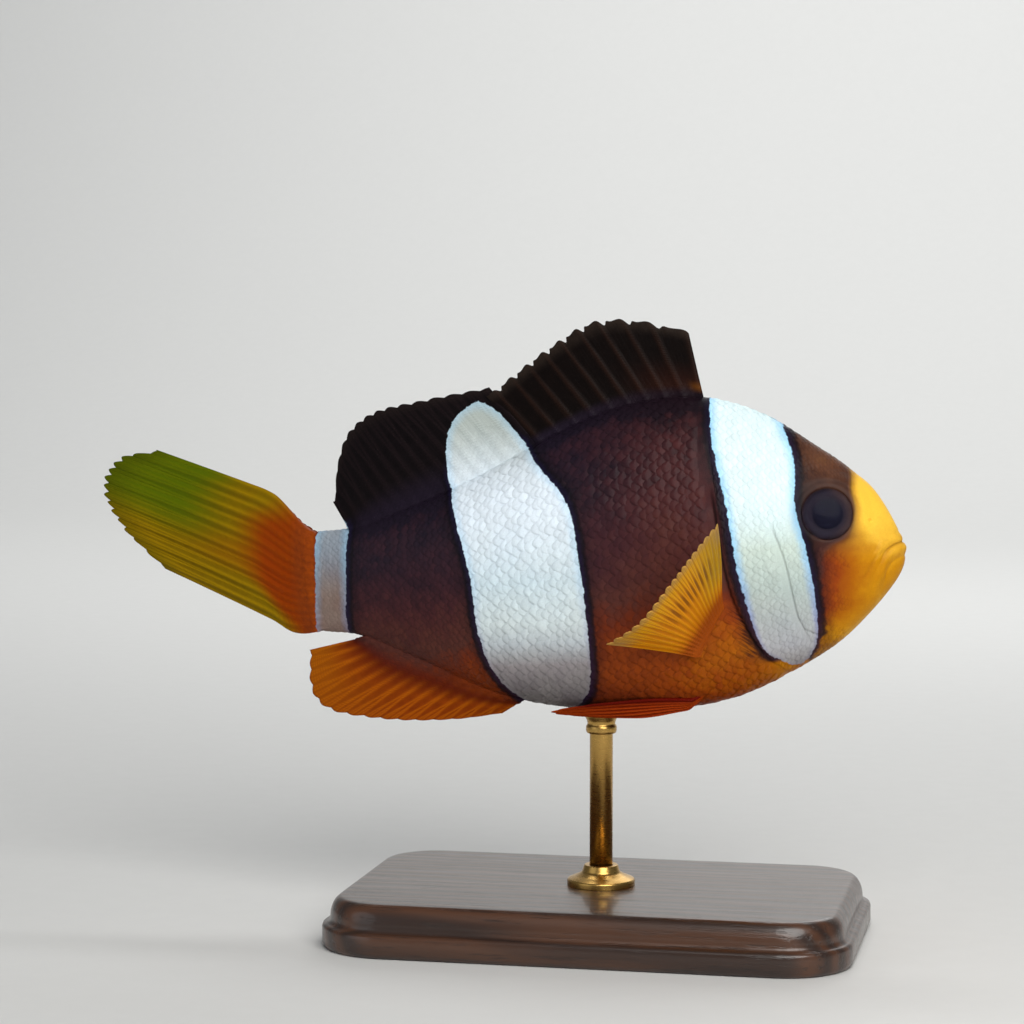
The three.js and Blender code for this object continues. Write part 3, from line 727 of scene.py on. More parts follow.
def markings_group():
    """Ground colour, bars, rims and borders from the point values that skin and scales share."""
    name = "Fish markings"
    found = bpy.data.node_groups.get(name)
    if found:
        return found
    colours = bpy.context.scene.fish_colours
    inputs = [("Wobble", "Float", 0.4), ("Scale Edge", "Float", 0.2)]
    group, given, out = new_group(name, inputs, [("Color", "Color"), ("Bars", "Float")])
    place = attribute(group, "place", "Vector")
    bars = split(attribute(group, "bars", "Vector"))
    warm, crease_shade, tone, edge = (attribute(group, key) for key in ("warm", "crease_shade", "tone", "edge"))
    ahead, _, height = split(place)
    s = ahead * -1.0
    broad, middling, fine = noise(place, 0.22, 2.0), noise(place, 1.1), noise(place, 5.0)

    # Ground colour, with a violet cast over the dark rear of the back.
    warmth = warm + (broad - 0.5) * 0.16 + (middling - 0.5) * 0.1 + tone * 0.02
    ground = warmth.ramp(
        (0.0, colours.shade),
        (0.12, colours.brown),
        (0.24, paint(86, 46, 38)),
        (0.36, colours.red),
        (0.52, colours.rust),
        (0.68, colours.orange),
        (0.82, colours.amber),
        (0.98, colours.yellow),
    )
    violet = s.fade(26.0, 45.0) * height.fade(-8.0, 2.0, 0.0, 0.55) * s.fade(78.0, 76.0)
    ground = blend(violet, ground, paint(30, 25, 40))

    # The upper snout turns from brown, lightened by the painted forehead highlight, through olive to yellow.
    snout = warmth.ramp(
        (0.0, colours.shade),
        (0.2, colours.forehead_highlight),
        (0.45, paint(112, 78, 34)),
        (0.75, paint(206, 152, 48)),
        (0.96, colours.yellow),
    )
    ground = blend(height.fade(-1.5, 3.5) * s.fade(14.0, 12.0), ground, snout)

    # Distance outside the nearest bar, with an uneven edge.
    uneven = (middling - 0.5) * given["Wobble"] + (fine - 0.5) * 0.16
    nearest = bars[0].least(bars[1]).least(bars[2]) + uneven * 1.6
    white = nearest.fade(-0.05, 0.09, 1.0, 0.0)
    # The dark border, thinner at the gill cover's lower corner.
    corner = height.fade(-10.1, -11.1, 0.0, 0.6) * s.fade(13.6, 13.2)
    border = (nearest + corner).fade(0.75, 1.5, 1.0, 0.0).most(nearest.fade(0.9, 2.8, 0.4, 0.0))
    # The sheen inside the bar's edge.
    rim = nearest.fade(height.fade(-12.0, -2.0, -0.6, -1.3), 0.1)
    rim = rim * s.fade(28.0, 38.0, 0.8, 0.3) * height.fade(-13.5, -8.0, 0.25, 1.0)

    # Bar colour: blue-white above and lilac below; greyer and darker towards the foot and towards the tail,
    # which is painted shade, and greyer where the middle bar runs onto the back.
    level = height.fade(-18.0, 10.0)
    head_pale = level.ramp(
        (0.0, paint(124, 108, 108)),
        (0.14, colours.shaded_bar_low),
        (0.5, paint(172, 190, 188)),
        (0.76, paint(198, 216, 208)),
        (0.96, colours.bar),
    )
    # The middle bar darkens fast towards its foot: painted shade under the belly.
    mid_pale = level.ramp(
        (0.0, paint(92, 84, 90)),
        (0.11, paint(138, 130, 136)),
        (0.23, paint(186, 196, 204)),
        (0.36, paint(212, 226, 230)),
        (0.64, paint(208, 228, 238)),
        (1.0, paint(230, 243, 255)),
    )
    # The tail bar is dim all over: painted shade of the tail, which gets less light.
    shaded_tail_bar = blend(height.fade(-3.0, 5.0), paint(112, 82, 74), paint(122, 134, 150))
    pale = blend(s.fade(30.0, 36.0), head_pale, mid_pale)
    pale = blend(s.fade(56.0, 72.0), pale, shaded_tail_bar)
    pale = blend(s.fade(34.0, 42.0) * height.fade(10.0, 20.0) * 0.85, pale, paint(150, 160, 152))
    pale = blend(broad * 0.25, pale, paint(214, 214, 200))
    pale = blend(rim, pale, blend(height.fade(-12.0, 4.0), colours.rim_low, colours.rim))

    # Fine dark strokes fan back from the border behind the gill cover.
    turn = (0.0, math.radians(-38), 0.0)
    turned = add_node(group, "Mapping", {"Vector": place, "Rotation": turn})[0]
    strokes = noise(stretch(turned, (0.3, 0.8, 6.4)), 1.0, 0.0)
    low = height.fade(-3.0, -7.5) * height.fade(-13.3, -12.3) * (s.fade(15.5, 17.0) * s.fade(30.0, 27.0))
    border = border.most(strokes.fade(0.44, 0.6) * (low * nearest.fade(3.4, 1.0, 0.0, 0.9)))
    # The head bar's lower end and the tail bar's rear have no border.
    foot = height + (s - 14.4) * 0.1
    open_foot = foot.fade(-12.9, -13.5) * s.fade(26.0, 24.0) * s.fade(12.7, 13.3)
    border = border * (1.0 - open_foot) * s.fade(77.9, 77.2)
    border_colour = blend(nearest.fade(0.1, 0.9), paint(24, 20, 44), colours.border)
    colour = blend(border * 0.93, ground, border_colour)
    colour = blend(white, colour, pale)

    # Darker line at each scale's free edge, painted shade in the creases, and each scale's own tone.
    line = edge * given["Scale Edge"] * white.fade(0.0, 1.0, 1.0, 0.5)
    colour = blend(line, colour, paint(70, 62, 66), "MULTIPLY")
    colour = blend(crease_shade * 0.85, colour, paint(74, 48, 40), "MULTIPLY")
    value = tone * 0.05 + 1.0 + (fine - 0.5) * 0.24
    colour = add_node(group, "HueSaturation", {"Color": colour, "Value": value})[0]
    plug(out, {"Color": colour, "Bars": white})
    return group


def wet_group():
    """Uneven gloss and fine bumps of a wet, slimy surface."""
    name = "Wet film"
    found = bpy.data.node_groups.get(name)
    if found:
        return found
    inputs = [("Vector", "Vector"), ("Grain", "Float", 6.0), ("Gloss", "Float", 0.34)]
    group, given, out = new_group(name, inputs, [("Roughness", "Float"), ("Height", "Float")])
    coarse = noise(given["Vector"], 0.5, 2.0)
    fine = noise(given["Vector"], given["Grain"], 3.0, 0.5)
    rough = given["Gloss"] + (coarse - 0.5) * 0.22 + (fine - 0.5) * 0.12
    plug(out, {"Roughness": rough.clamped(), "Height": coarse * 0.4 + fine})
    return group


def fish_material(name, scale_edge, gloss, grain, depth):
    """The finish of the skin or the scales; depth is how deep its fine bumps are, in metres."""
    material, tree, surface = new_material(name)
    look = use_group(tree, markings_group(), {"Scale Edge": scale_edge})
    place = attribute(tree, "place", "Vector")
    film = use_group(tree, wet_group(), {"Vector": place, "Grain": grain, "Gloss": gloss})
    finish(surface, look["Color"], film["Roughness"], bump(film["Height"], 0.6, depth))
    plug(surface, {"Coat Weight": 0.03, "Coat Roughness": 0.22, "Specular IOR Level": 0.08})
    return material


# ---------- Skin ----------


def ring_places():
    """Distances behind the snout of the skin's rings, closest on the face."""
    spacing = ((0, 0.1), (5, 0.12), (13, 0.13), (17, 0.2), (25, 0.22), (31, 0.6), (74, 0.65), (81, 0.22))
    places, s = [], float(place_of_row(ROW_START))
    while s < SKIN_END:
        places.append(s)
        s += float(curve(spacing, s)) * min(1, 0.25 + s / 1.2)
    return np.array([*places, SKIN_END])


def make_skin():
    """The one skin: rings of points round the body, closed at the snout and at the tail."""
    rows = row_of_place(ring_places())
    half = 161  # points from back to belly
    # The points crowd together at the height of the eye and mouth.
    steps = np.linspace(0, 1, 2001)
    weight = np.cumsum(1 + 1.7 * bell(steps - 0.36, 0.12))
    share = np.interp(np.linspace(weight[0], weight[-1], half), weight, steps)
    row, column = np.meshgrid(rows, share, indexing="ij")
    plain = sample(CHART["base"], row, column)
    normal = unit(sample(CHART["normal"], row, column))
    height, crease_shade = relief(plain)
    left = plain + normal * height[..., None]
    right = left[:, -2:0:-1] * np.array((1, -1, 1))
    ring = np.concatenate((left, right), axis=1)
    ring_crease_shade = np.concatenate((crease_shade, crease_shade[:, -2:0:-1]), axis=1)
    count, around = ring.shape[:2]
    points = np.concatenate((ring.reshape(-1, 3), ring[0].mean(axis=0, keepdims=True)))
    crease_shades = np.concatenate((ring_crease_shade.ravel(), ring_crease_shade[0, :1]))
    body = grid_faces(count, around, closed=True)
    first = np.arange(around)
    snout = np.stack((np.full(around, count * around), first, (first + 1) % around), axis=1)[:, ::-1]
    last = (count - 1) * around
    j = np.arange(1, half - 2)
    close = last + np.stack((j, j + 1, around - j - 1, around - j), axis=1)
    ends = last + np.array(((0, 1, around - 1), (half - 2, half - 1, half)))
    # The unwrap: distance along, and the girth opened at the belly.
    along = np.concatenate((np.repeat((rows - rows[0]) / (rows[-1] - rows[0]), around), [0.0]))
    girth = np.concatenate((share / 2, 1 - share[-2:0:-1] / 2))
    turn = np.concatenate((np.tile(girth, count), [0.5]))
    faces = [body, snout, close, ends]
    uv = []
    for group in faces:
        v = (turn[group] + 0.5) % 1
        v = np.where((v.max(axis=1, keepdims=True) - v > 0.5), v + 1, v) * (around / (around + 1.0))
        chart = np.stack((0.005 + 0.99 * along[group], 0.003 + 0.994 * np.clip(v, 0, 1)), axis=-1)
        uv.append(chart.reshape(-1, 2))
    return make_mesh("skin", pose(points), faces, fish_values(points, crease_shades), np.concatenate(uv))


# ---------- Scales ----------


SCALE_STEP = 0.56  # from one row of scales to the next, in parts of a scale's breadth
PATCH = 0.0028  # length of a scale's patch on the unwrap


def scale_pattern(across, along):
    """One scale's grid of (across, along, height) from its root to its rear edge, where its rear
    edge is, and its top and under faces. The under faces meet at a point sunk in the skin."""
    t, a = np.meshgrid(np.linspace(0, 1, along + 1), np.linspace(-1, 1, across + 1), indexing="ij")
    length = mix(0.1 * a**2, 1 - 0.34 * np.abs(a) ** 2.3, t)
    width = a * (0.84 + 0.16 * np.sin(np.pi * np.clip(t * 0.9 + 0.1, 0, 1)))
    height = mix(-0.9, 1.0, ease(t, 0, 0.82)) - 0.4 * ease(t, 0.84, 1) + 0.12 * (1 - a**2) * ease(t, 0.1, 0.6)
    height -= 0.3 * np.abs(a) ** 4 * (1 - t * 0.5)
    rear = np.maximum(ease(t, 0.74, 1.0), ease(np.abs(a), 0.78, 1) * ease(t, 0.4, 0.9))
    top = grid_faces(along + 1, across + 1)[:, ::-1]
    loop = rim_loop(np.arange(a.size).reshape(a.shape))
    under = np.stack((np.full(len(loop), a.size), loop, np.roll(loop, -1)), axis=1)
    grid = np.stack((width.ravel(), length.ravel(), height.ravel()), axis=-1)
    grid = np.concatenate((grid, [(0, 0.5, -1.3)]))
    return grid, np.concatenate((rear.ravel(), [0.0])), top, under


def joined_scales(name, points, pattern, first_uv, second_uv, values, flip=False):
    """The mesh of many copies of one scale, with a patch of the unwrap for each face of each."""
    top, under = pattern
    number, size = points.shape[:2]
    first = (np.arange(number) * size)[:, None, None]
    faces = [(top + first).reshape(-1, 4), (under + first).reshape(-1, 3)]
    if flip:
        faces = [group[:, ::-1] for group in faces]
    uv = [chart.reshape(-1, 2)[group].reshape(-1, 2) for group, chart in zip(faces, (first_uv, second_uv))]
    return make_mesh(name, pose(points.reshape(-1, 3)), faces, values, np.concatenate(uv))


def scale_roots(rows, start, end):
    """Rows and shares of girth of staggered scale roots, and each one's breadth in millimetres."""
    found, s, odd = [], start, False
    chart_rows = np.linspace(ROW_START, ROW_END, CHART_ROWS)
    while s < end:
        row = float(row_of_place(s))
        breadth = float(np.interp(row, chart_rows, CHART["girth"])) / rows
        share = np.arange(1, rows) / rows if odd else (np.arange(rows) + 0.5) / rows
        found.append(np.stack(np.broadcast_arrays(row, share, breadth), axis=1))
        s += breadth * SCALE_STEP
        odd = not odd
    return np.concatenate(found)


def room_behind(s, z):
    """How far a head scale may reach back before a groove or the gill opening."""
    room = gill_edge(z) - s - 0.25
    groove = curve(CHEEK_GROOVE, z) - s - 0.05
    return np.where((groove > -0.05) & (z < 4) & (z > -10.8), np.minimum(room, groove), room)


def lip_edge(z):
    """How far behind the snout the bare skin of the lips and chin ends."""
    return 7.2 + 1.2 * np.sin(z * 1.3)


def is_bare(points, head):
    """Whether a scale root lies where the skin is bare."""
    s, z = -points[:, 0], points[:, 2]
    if not head:
        return (s - gill_edge(z) < 0.15) | (from_pectoral(s, z) < 1.1)
    face = (from_eye(points) < 4.5) | (s < 5.2) | ((s < lip_edge(z)) & (z < 3))
    return face | (room_behind(s, z) < 0.32) | (np.hypot(s - NOSTRIL[0], z - NOSTRIL[1]) < 1.3)


def make_scales(name, side, rows, start, end, lift, seed, head=False):
    """A joined mesh of overlapping scales on one side, between two distances behind the snout."""
    detail, length = (5, 1.45) if head else (6, 1.5)
    roots = scale_roots(rows, start, end)
    rng = np.random.default_rng(seed)

    def uneven(spread_by, shape, limit=2.0):
        return spread_by * rng.standard_normal(shape).clip(-limit, limit)

    roots = roots[~is_bare(sample(CHART["base"], roots[:, 0], roots[:, 1]), head)]
    count = len(roots)
    roots[:, 1] += roots[:, 1] * (1 - roots[:, 1]) * 4 * rng.normal(0, 0.09, count).clip(-0.2, 0.2) / rows
    roots[:, 0] += rng.normal(0, 0.05, count).clip(-0.1, 0.1) * roots[:, 2] / NOSE_ROW
    grid, rear, *pattern = scale_pattern(detail, detail)
    row, share, breadth = roots.T[:, :, None]
    size = 1 + uneven(0.07, (count, 1))
    turn = uneven(0.06, (count, 1))
    tone = rng.uniform(-1, 1, (count, 1))
    rise = lift * (1 + uneven(0.22, (count, 1))) * np.clip(breadth / 1.5, 0.45, 1)
    half = breadth * 0.62 * size
    reach = breadth * length * size
    sunk = np.zeros((count, 1))
    if head:
        plain = sample(CHART["base"], row, share)
        s, z = -plain[..., 0], plain[..., 2]
        reach = np.minimum(reach, room_behind(s, z))
        bare_edge = np.where(z < 3, lip_edge(z), 5.2)
        sunk = 1 - ease(s, bare_edge, bare_edge + 2.6) * ease(from_eye(plain), 4.6, 5.6)
    across, along = grid[:, 0] * half, grid[:, 1] * reach
    across, along = across + along * turn, along - across * turn
    # Millimetres along the flank to rows, and across it to shares of the girth.
    small = 0.02
    here = sample(CHART["base"], row[:, 0], share[:, 0])
    ahead = sample(CHART["base"], np.minimum(row[:, 0] + small, ROW_END), share[:, 0])
    per_row = (np.linalg.norm(ahead - here, axis=-1) / small)[:, None]
    room = np.minimum(share, 1 - share) * rows * breadth / np.maximum(half, 1e-6)
    at_share = share + across * np.minimum(1, room) / (rows * breadth)
    at_row = np.minimum(row + along / np.maximum(per_row, 3), ROW_END)
    points = skin_point(at_row, at_share, side, (grid[:, 2] - 0.8 * sunk) * rise)
    # Each scale's patch lies at its root's place on the unwrap, its underside beside its top.
    corner = np.stack((spread(row, 0.01, 0.98), spread(share, 0.01, 0.98)), axis=-1)
    patch = corner + PATCH * np.stack((grid[:, 1], grid[:, 0] * 0.5 + 0.5), axis=-1)
    tone, edge = (np.broadcast_to(value, at_row.shape).ravel() for value in (tone, rear))
    values = fish_values(points.reshape(-1, 3), tone=tone, edge=edge)
    piece = joined_scales(name, points, pattern, patch, patch + (0.0, PATCH * 1.35), values, side > 0)
    piece.data.set_sharp_from_angle(angle=1.2)
    return piece


# ---------- Fins ----------

# A fin's place(u, t) gives its middle surface: u runs from 0 to 1 over its rays, t from its root to
# its tip. phase is how far a point is from its nearest ray, in parts of the space between rays.


def runs(place, u, t, step=1e-3):
    """How far the middle surface runs for each unit of u and of t."""
    along_u = (place(u + step, t) - place(u - step, t)) / (2 * step)
    return along_u, (place(u, t + step) - place(u, t - step)) / (2 * step)


def median_place(start, end, edge, lengths, leans, sway):
    """A fin whose rays stand on the body's edge, which edge(s) gives, and lean back."""

    def place(u, t):
        s = mix(start, end, u)
        lean = np.radians(curve(leans, u))
        reach = curve(lengths, u) * t
        y = sway * np.sin(u * 7 + t * 1.5) * np.clip(t, 0, 1) ** 2
        root = edge(s)
        z = root + np.sign(root) * reach * np.cos(lean)
        return np.stack((-s - reach * np.sin(lean), y, z), axis=-1)

    return place


def make_fin(name, place, rays, rows, per_ray, half, margin, start, beyond):
    """A closed sheet with ribs along its rays. half(u, t, phase) is half of its thickness,
    margin(phase) how far it reaches, and beyond what it adds past its first and last rays."""
    columns = int(round((rays - 1 + sum(beyond)) * per_ray))
    at = np.linspace(-beyond[0], rays - 1 + beyond[1], columns + 1)
    u, t = np.meshgrid(at / (rays - 1), np.linspace(start, 1, rows), indexing="ij")
    phase = at[:, None] - np.round(at)[:, None] + 0 * t
    reach = np.where(t > 0, t * mix(1, margin(phase), ease(t, 0.3, 1)), t)
    middle = place(u, reach)
    rim = np.clip(np.minimum(at + beyond[0], rays - 1 + beyond[1] - at) / 0.3, 0, 1)[:, None]
    tip = np.sqrt(np.clip((1 - t) / 0.03, 0.02, 1))
    thickness, rib = half(u, np.clip(reach, 0, 1), phase)
    thickness = thickness * mix(0.25, 1, np.sqrt(rim)) * mix(0.3, 1, tip)
    shift = unit(np.cross(*runs(place, u, reach))) * thickness[..., None]
    points = np.concatenate(((middle - shift).reshape(-1, 3), (middle + shift).reshape(-1, 3)))
    size = u.size
    sheet = grid_faces(*u.shape)
    loop = rim_loop(np.arange(size).reshape(u.shape))
    after = np.roll(loop, -1)
    band = np.stack((loop, loop + size, after + size, after), axis=1)
    values = fish_values(points)
    values["fin"] = np.tile(np.stack((u, reach, rib), axis=-1).reshape(-1, 3), (2, 1))
    # One patch for each face of the sheet, one above the other, and a thread for its rim.
    near_uv = np.stack((spread(u, 0.01, 0.99), spread(t, 0.01, 0.49)), axis=-1).reshape(-1, 2)
    nudge = np.array((0.0, 0.002, 0.002, 0.0))[None, :, None]
    band_uv = np.clip(near_uv[np.stack((loop, loop, after, after), axis=1)] - nudge, 0, 1)
    uv = [near_uv[sheet], near_uv[sheet[:, ::-1]] + (0.0, 0.5), band_uv]
    faces = [sheet, sheet[:, ::-1] + size, band]
    return make_mesh(name, pose(points), faces, values, np.concatenate([part.reshape(-1, 2) for part in uv]))


def make_sheath(name, place, half, rays, breadth, reach, seed):
    """Small scales over both faces of a fin's root; reach(u) is how far out they go."""
    rng = np.random.default_rng(seed)
    span = np.linalg.norm(place(np.float64(1), np.float64(0)) - place(np.float64(0), np.float64(0)))
    count, furthest = round(span / breadth), reach(np.linspace(0, 1, 50)).max()
    roots = []
    for odd, out in enumerate(np.arange(-1.0, furthest, breadth * 0.5)):
        u = (np.arange(count) + 0.5) / count if odd % 2 == 0 else np.arange(1, count) / count
        u = u[out < reach(u)]
        roots += [np.stack(np.broadcast_arrays(u, out, face), axis=1) for face in (-1.0, 1.0)]
    u, out, face = np.concatenate(roots).T[:, :, None]
    length = np.linalg.norm(place(u, 1.0 + 0 * u) - place(u, 0 * u), axis=-1)
    t = out / length
    along_u, along_t = runs(place, u, t)
    dot = (unit(along_u) * unit(along_t)).sum(axis=-1)
    square = np.sqrt(1 - dot**2)
    grid, rear, *pattern = scale_pattern(5, 5)
    size = (1 - 0.45 * np.clip(out / furthest, 0, 1)) * (1 + 0.07 * rng.standard_normal(u.shape).clip(-2, 2))
    tone = rng.uniform(-1, 1, u.shape)
    across, along = grid[:, 0] * breadth * 0.6 * size, grid[:, 1] * breadth * 1.4 * size
    at_u = u + across / (square * np.linalg.norm(along_u, axis=-1))
    at_t = t + (along - across * dot / square) / length
    phase = at_u * (rays - 1) - np.round(at_u * (rays - 1))
    thickness, rib = half(at_u, np.clip(at_t, 0, 1), phase)
    rise = (thickness + 0.04 * size * grid[:, 2]) * face
    points = place(at_u, at_t) + unit(np.cross(*runs(place, at_u, at_t))) * rise[..., None]
    tone, edge = (np.broadcast_to(value, at_u.shape).ravel() for value in (tone, rear))
    values = fish_values(points.reshape(-1, 3), tone=tone, edge=edge)
    values["fin"] = np.stack((at_u, at_t, rib), axis=-1).reshape(-1, 3)
    corner = np.stack((spread(u, 0.01, 0.98), spread(out, 0.01, 0.48) + np.where(face > 0, 0.5, 0)), axis=-1)
    patch = corner + PATCH * np.stack((grid[:, 1], grid[:, 0] * 0.5 + 0.5), axis=-1)
    piece = joined_scales(name, points, pattern, patch, patch + (0.0, 0.0038), values)
    face_outwards(piece)
    piece.data.set_sharp_from_angle(angle=1.2)
    return piece


def soft_rib(phase, t, root=0.34, tip=0.085):
    """The height share of a soft ray that branches twice on its way out."""
    width = mix(root, tip, ease(t, 0, 0.75))
    first = 0.23 * ease(t, 0.28, 0.95)
    second = 0.1 * ease(t, 0.58, 1.0)
    branches = [bell(phase - a * first - b * second, width) for a in (-1, 1) for b in (-1, 1)]
    return np.maximum.reduce(branches)


def soft_half(root, ray, web, decay=7.0):
    """Half thickness of a soft fin: fleshy at its root, then ribs with membrane between them."""

    def half(u, t, phase):
        rib = soft_rib(phase, t)
        joints = 1 + 0.1 * np.sin(t * 150) * rib * ease(t, 0.15, 0.4)
        ribs = (mix(ray, ray * 0.42, t) - web) * rib * joints
        return (web + ribs + (root - ray) * np.exp(-decay * t)) / 2, rib

    return half


def spiny_half(u, t, phase):
    """Half thickness of the spiny fin, with one stout rib for each spine."""
    rib = bell(phase, mix(0.17, 0.08, t))
    return (0.2 + (mix(0.62, 0.32, t) - 0.2) * rib + 1.0 * np.exp(-8 * t)) / 2, rib


def scalloped(notch):
    """A margin that dips a little between the rays."""
    return lambda phase: 1 - notch * (2 * np.abs(phase)) ** 1.6


def lobed(phase):
    """A margin with a rounded lobe behind each spine and a small cleft ahead of the next."""
    clefts = 0.03 * (ease(phase, 0.05, 0.5) + ease(phase, -0.3, -0.5))
    return 1 - 0.075 * bell(phase + 0.2, 0.13) - clefts


def spiny_dorsal():
    lengths = [(0, 8.4), (0.15, 10.6), (0.35, 11.8), (0.6, 10.6), (1, 8.8)]
    leans = [(0, 9), (0.12, 21), (0.45, 31), (1, 39)]
    place = median_place(24.4, 46, lambda s: curve(BACK, s), lengths, leans, 0.25)
    fin = make_fin("spiny_dorsal_fin", place, 10, 44, 18, spiny_half, lobed, -0.12, (0.1, 0.55))

    def covered(u):
        return 1.5 * ease(u, -0.02, 0.2)

    return fin, make_sheath("spiny_dorsal_sheath", place, spiny_half, 10, 0.85, covered, 5)


def soft_dorsal():
    lengths = [(0, 9.5), (0.25, 12.3), (0.5, 13.6), (0.72, 12.3), (0.88, 8.6), (1, 4)]
    leans = [(0, 38.5), (0.3, 39), (0.6, 34), (1, 30)]
    place = median_place(46.6, 73.2, lambda s: curve(BACK, s), lengths, leans, 0.35)
    half = soft_half(1.7, 0.46, 0.2)
    fin = make_fin("soft_dorsal_fin", place, 15, 56, 18, half, scalloped(0.03), -0.1, (0.1, 0.15))

    def covered(u):
        return 4.6 * ease(u, 1.15, 0.55)

    return fin, make_sheath("soft_dorsal_sheath", place, half, 15, 0.85, covered, 6)


def anal_fin():
    lengths = [(0, 3.4), (0.15, 6.5), (0.5, 12.1), (0.75, 14.3), (1, 8.3)]
    leans = [(0, 62), (0.5, 61), (0.75, 66), (1, 80)]
    place = median_place(51.2, 72.4, lambda s: -curve(BELLY, s), lengths, leans, 0.3)
    half = soft_half(1.7, 0.46, 0.2)
    fin = make_fin("anal_ray_fin", place, 15, 56, 18, half, scalloped(0.03), -0.1, (0.1, 0.1))

    def covered(u):
        return 3.6 * ease(u, 1.15, 0.6) * ease(u, -0.2, 0.3)

    return fin, make_sheath("anal_sheath", place, half, 15, 0.85, covered, 7)


def tail_place(u, t):
    """The half-closed tail fin: its rays turn up together and fold like a fan."""
    v = 2 * u - 1
    reach = curve([(0, 24.2), (0.2, 29.5), (0.55, 32.5), (0.85, 29.1), (1, 23.2)], u) * t
    angle = np.radians((24.5 - 2.5 * v) * ease(t, -0.15, 0.3))
    flare = np.where(v > 0, 3.8, 1.6) * ease(t, -0.08, 0.22)
    s = BODY_LENGTH + GAP + reach * np.cos(angle)
    z = -0.2 + v * (6.4 + flare) + reach * np.sin(angle)
    y = 0.12 * ease(t, 0, 0.5) * np.cos(math.pi * u * 14) + 0.5 * np.sin(v * 2.6) * np.clip(t, 0, 1) ** 2
    return np.stack((-s, y, z), axis=-1)


def tail_half(u, t, phase):
    """Half thickness of the tail fin, which grows out of the flesh of the tail's stem."""
    v = np.clip(2 * u - 1, -1, 1)
    rib = soft_rib(phase, t, 0.36, 0.1)
    body = 2.9 * np.sqrt(np.clip(1 - 0.86 * v**2, 0, 1)) * np.exp(-6.5 * t)
    return (0.2 + mix(0.24, 0.12, t) * rib * mix(1, 0.7, v**2) + body) / 2, rib


def tail_fin():
    fin = make_fin("tail_fin", tail_place, 15, 110, 20, tail_half, scalloped(0.025), -0.09, (0.12, 0.12))

    def covered(u):
        return 4.4 + 1.6 * np.abs(2 * u - 1)

    return fin, make_sheath("tail_sheath", tail_place, tail_half, 15, 0.8, covered, 8)


def pectoral_place(side):
    """A pectoral fin fanned out from the flank, its upper rays raised and its lower ones back."""

    def place(u, t):
        s, z = (mix(a, b, u) for a, b in zip(*PECTORAL_ROOTS))
        ahead = curve([(0, 0.21), (0.25, 0.09), (0.5, -0.01), (0.75, -0.2), (0.88, -0.36), (1, -0.59)], u)
        up = curve([(0, 0.67), (0.25, 0.48), (0.5, 0.4), (0.75, 0.3), (1, 0.23)], u)
        out = side * np.sqrt(1 - ahead**2 - up**2)
        reach = curve([(0, 16), (0.25, 18.9), (0.5, 18.4), (0.75, 15.8), (1, 12.8)], u) * t
        x = -s - 1.2 * t * t + ahead * reach
        return np.stack((x, side * half_width(s, z) + out * reach, z + up * reach), axis=-1)

    return place


def pectoral_half(u, t, phase):
    rib = soft_rib(phase, t, 0.4, 0.095)
    return (0.14 + mix(0.26, 0.14, t) * rib * ease(t, -0.02, 0.16) + 1.5 * np.exp(-9 * t)) / 2, rib


def make_pectoral(side, word):
    name, place, margin = f"{word}_pectoral_fin", pectoral_place(side), scalloped(0.035)
    return make_fin(name, place, 18, 72, 18, pectoral_half, margin, -0.07, (0.1, 0.1))


def pelvic_place(side):
    """A pelvic fin that lies back close under the belly."""

    def place(u, t):
        reach = curve([(0, 13), (0.4, 18.5), (0.7, 19), (1, 14.5)], u)
        s = mix(27.6, 26.6, u) + reach * t
        opened = ease(t, -0.1, 0.6)
        y = mix(mix(2.1, 2.9, u), mix(2.5, 4.1, u), opened)
        z = mix(mix(-18.9, -17.8, u), mix(-20, -17.3, u), opened) - 0.9 * (u - 0.5) * t * t
        z = z + 1.5 * ease(t, 0.12, -0.06)
        return np.stack((-s, side * y, z), axis=-1)

    return place


def make_pelvic(side, word):
    name, place, margin = f"{word}_pelvic_fin", pelvic_place(side), scalloped(0.03)
    half = soft_half(1.3, 0.6, 0.2, 8.0)
    return make_fin(name, place, 6, 64, 22, half, margin, -0.06, (0.15, 0.15))


def fin_streaks_group():
    """Fine rays, joints and membrane mottling along a fin."""
    name = "Fin streaks"
    found = bpy.data.node_groups.get(name)
    if found:
        return found
    inputs = [("Fin", "Vector"), ("Place", "Vector"), ("Streaks", "Float", 90.0)]
    outputs = [(key, "Float") for key in ("Web", "Streak", "Mottle", "Height")]
    group, given, out = new_group(name, inputs, outputs)
    u, t, rib = split(given["Fin"])
    lines = add_node(group, "CombineXYZ", {0: u * given["Streaks"], 1: t * 3.0})[0]
    streak = noise(lines, 1.0, 2.0)
    joints = (t * 190.0).single("SINE") * (rib * 0.2)
    plug(out, {"Web": (1.0 - rib).clamped(), "Streak": streak})
    plug(out, {"Mottle": noise(given["Place"], 0.9), "Height": streak * 0.8 + joints})
    return group


def fin_material(name, paint_fin, streaks, flank=0.0, with_bars=False):
    """A fin's finish; paint_fin(u, t, look) gives its colour, and flank is how far out the
    flank's own colours reach on it."""
    material, tree, surface = new_material(name)
    fin, place = attribute(tree, "fin", "Vector"), attribute(tree, "place", "Vector")
    look = use_group(tree, fin_streaks_group(), {"Fin": fin, "Place": place, "Streaks": streaks})
    u, t, _ = split(fin)
    colour = paint_fin(u, t, look)
    if flank:
        marks = use_group(tree, markings_group(), {"Scale Edge": 0.12})
        cover = t.fade(flank, 0.0)
        if with_bars:
            cover = cover.most(marks["Bars"])
        colour = blend(cover, colour, marks["Color"])
    film = use_group(tree, wet_group(), {"Vector": place, "Grain": 5.0, "Gloss": 0.45})
    height = look["Height"] + film["Height"] * 0.3
    finish(surface, colour, film["Roughness"], bump(height, 0.7, 0.0001))
    plug(surface, {"Specular IOR Level": 0.05})
    return material


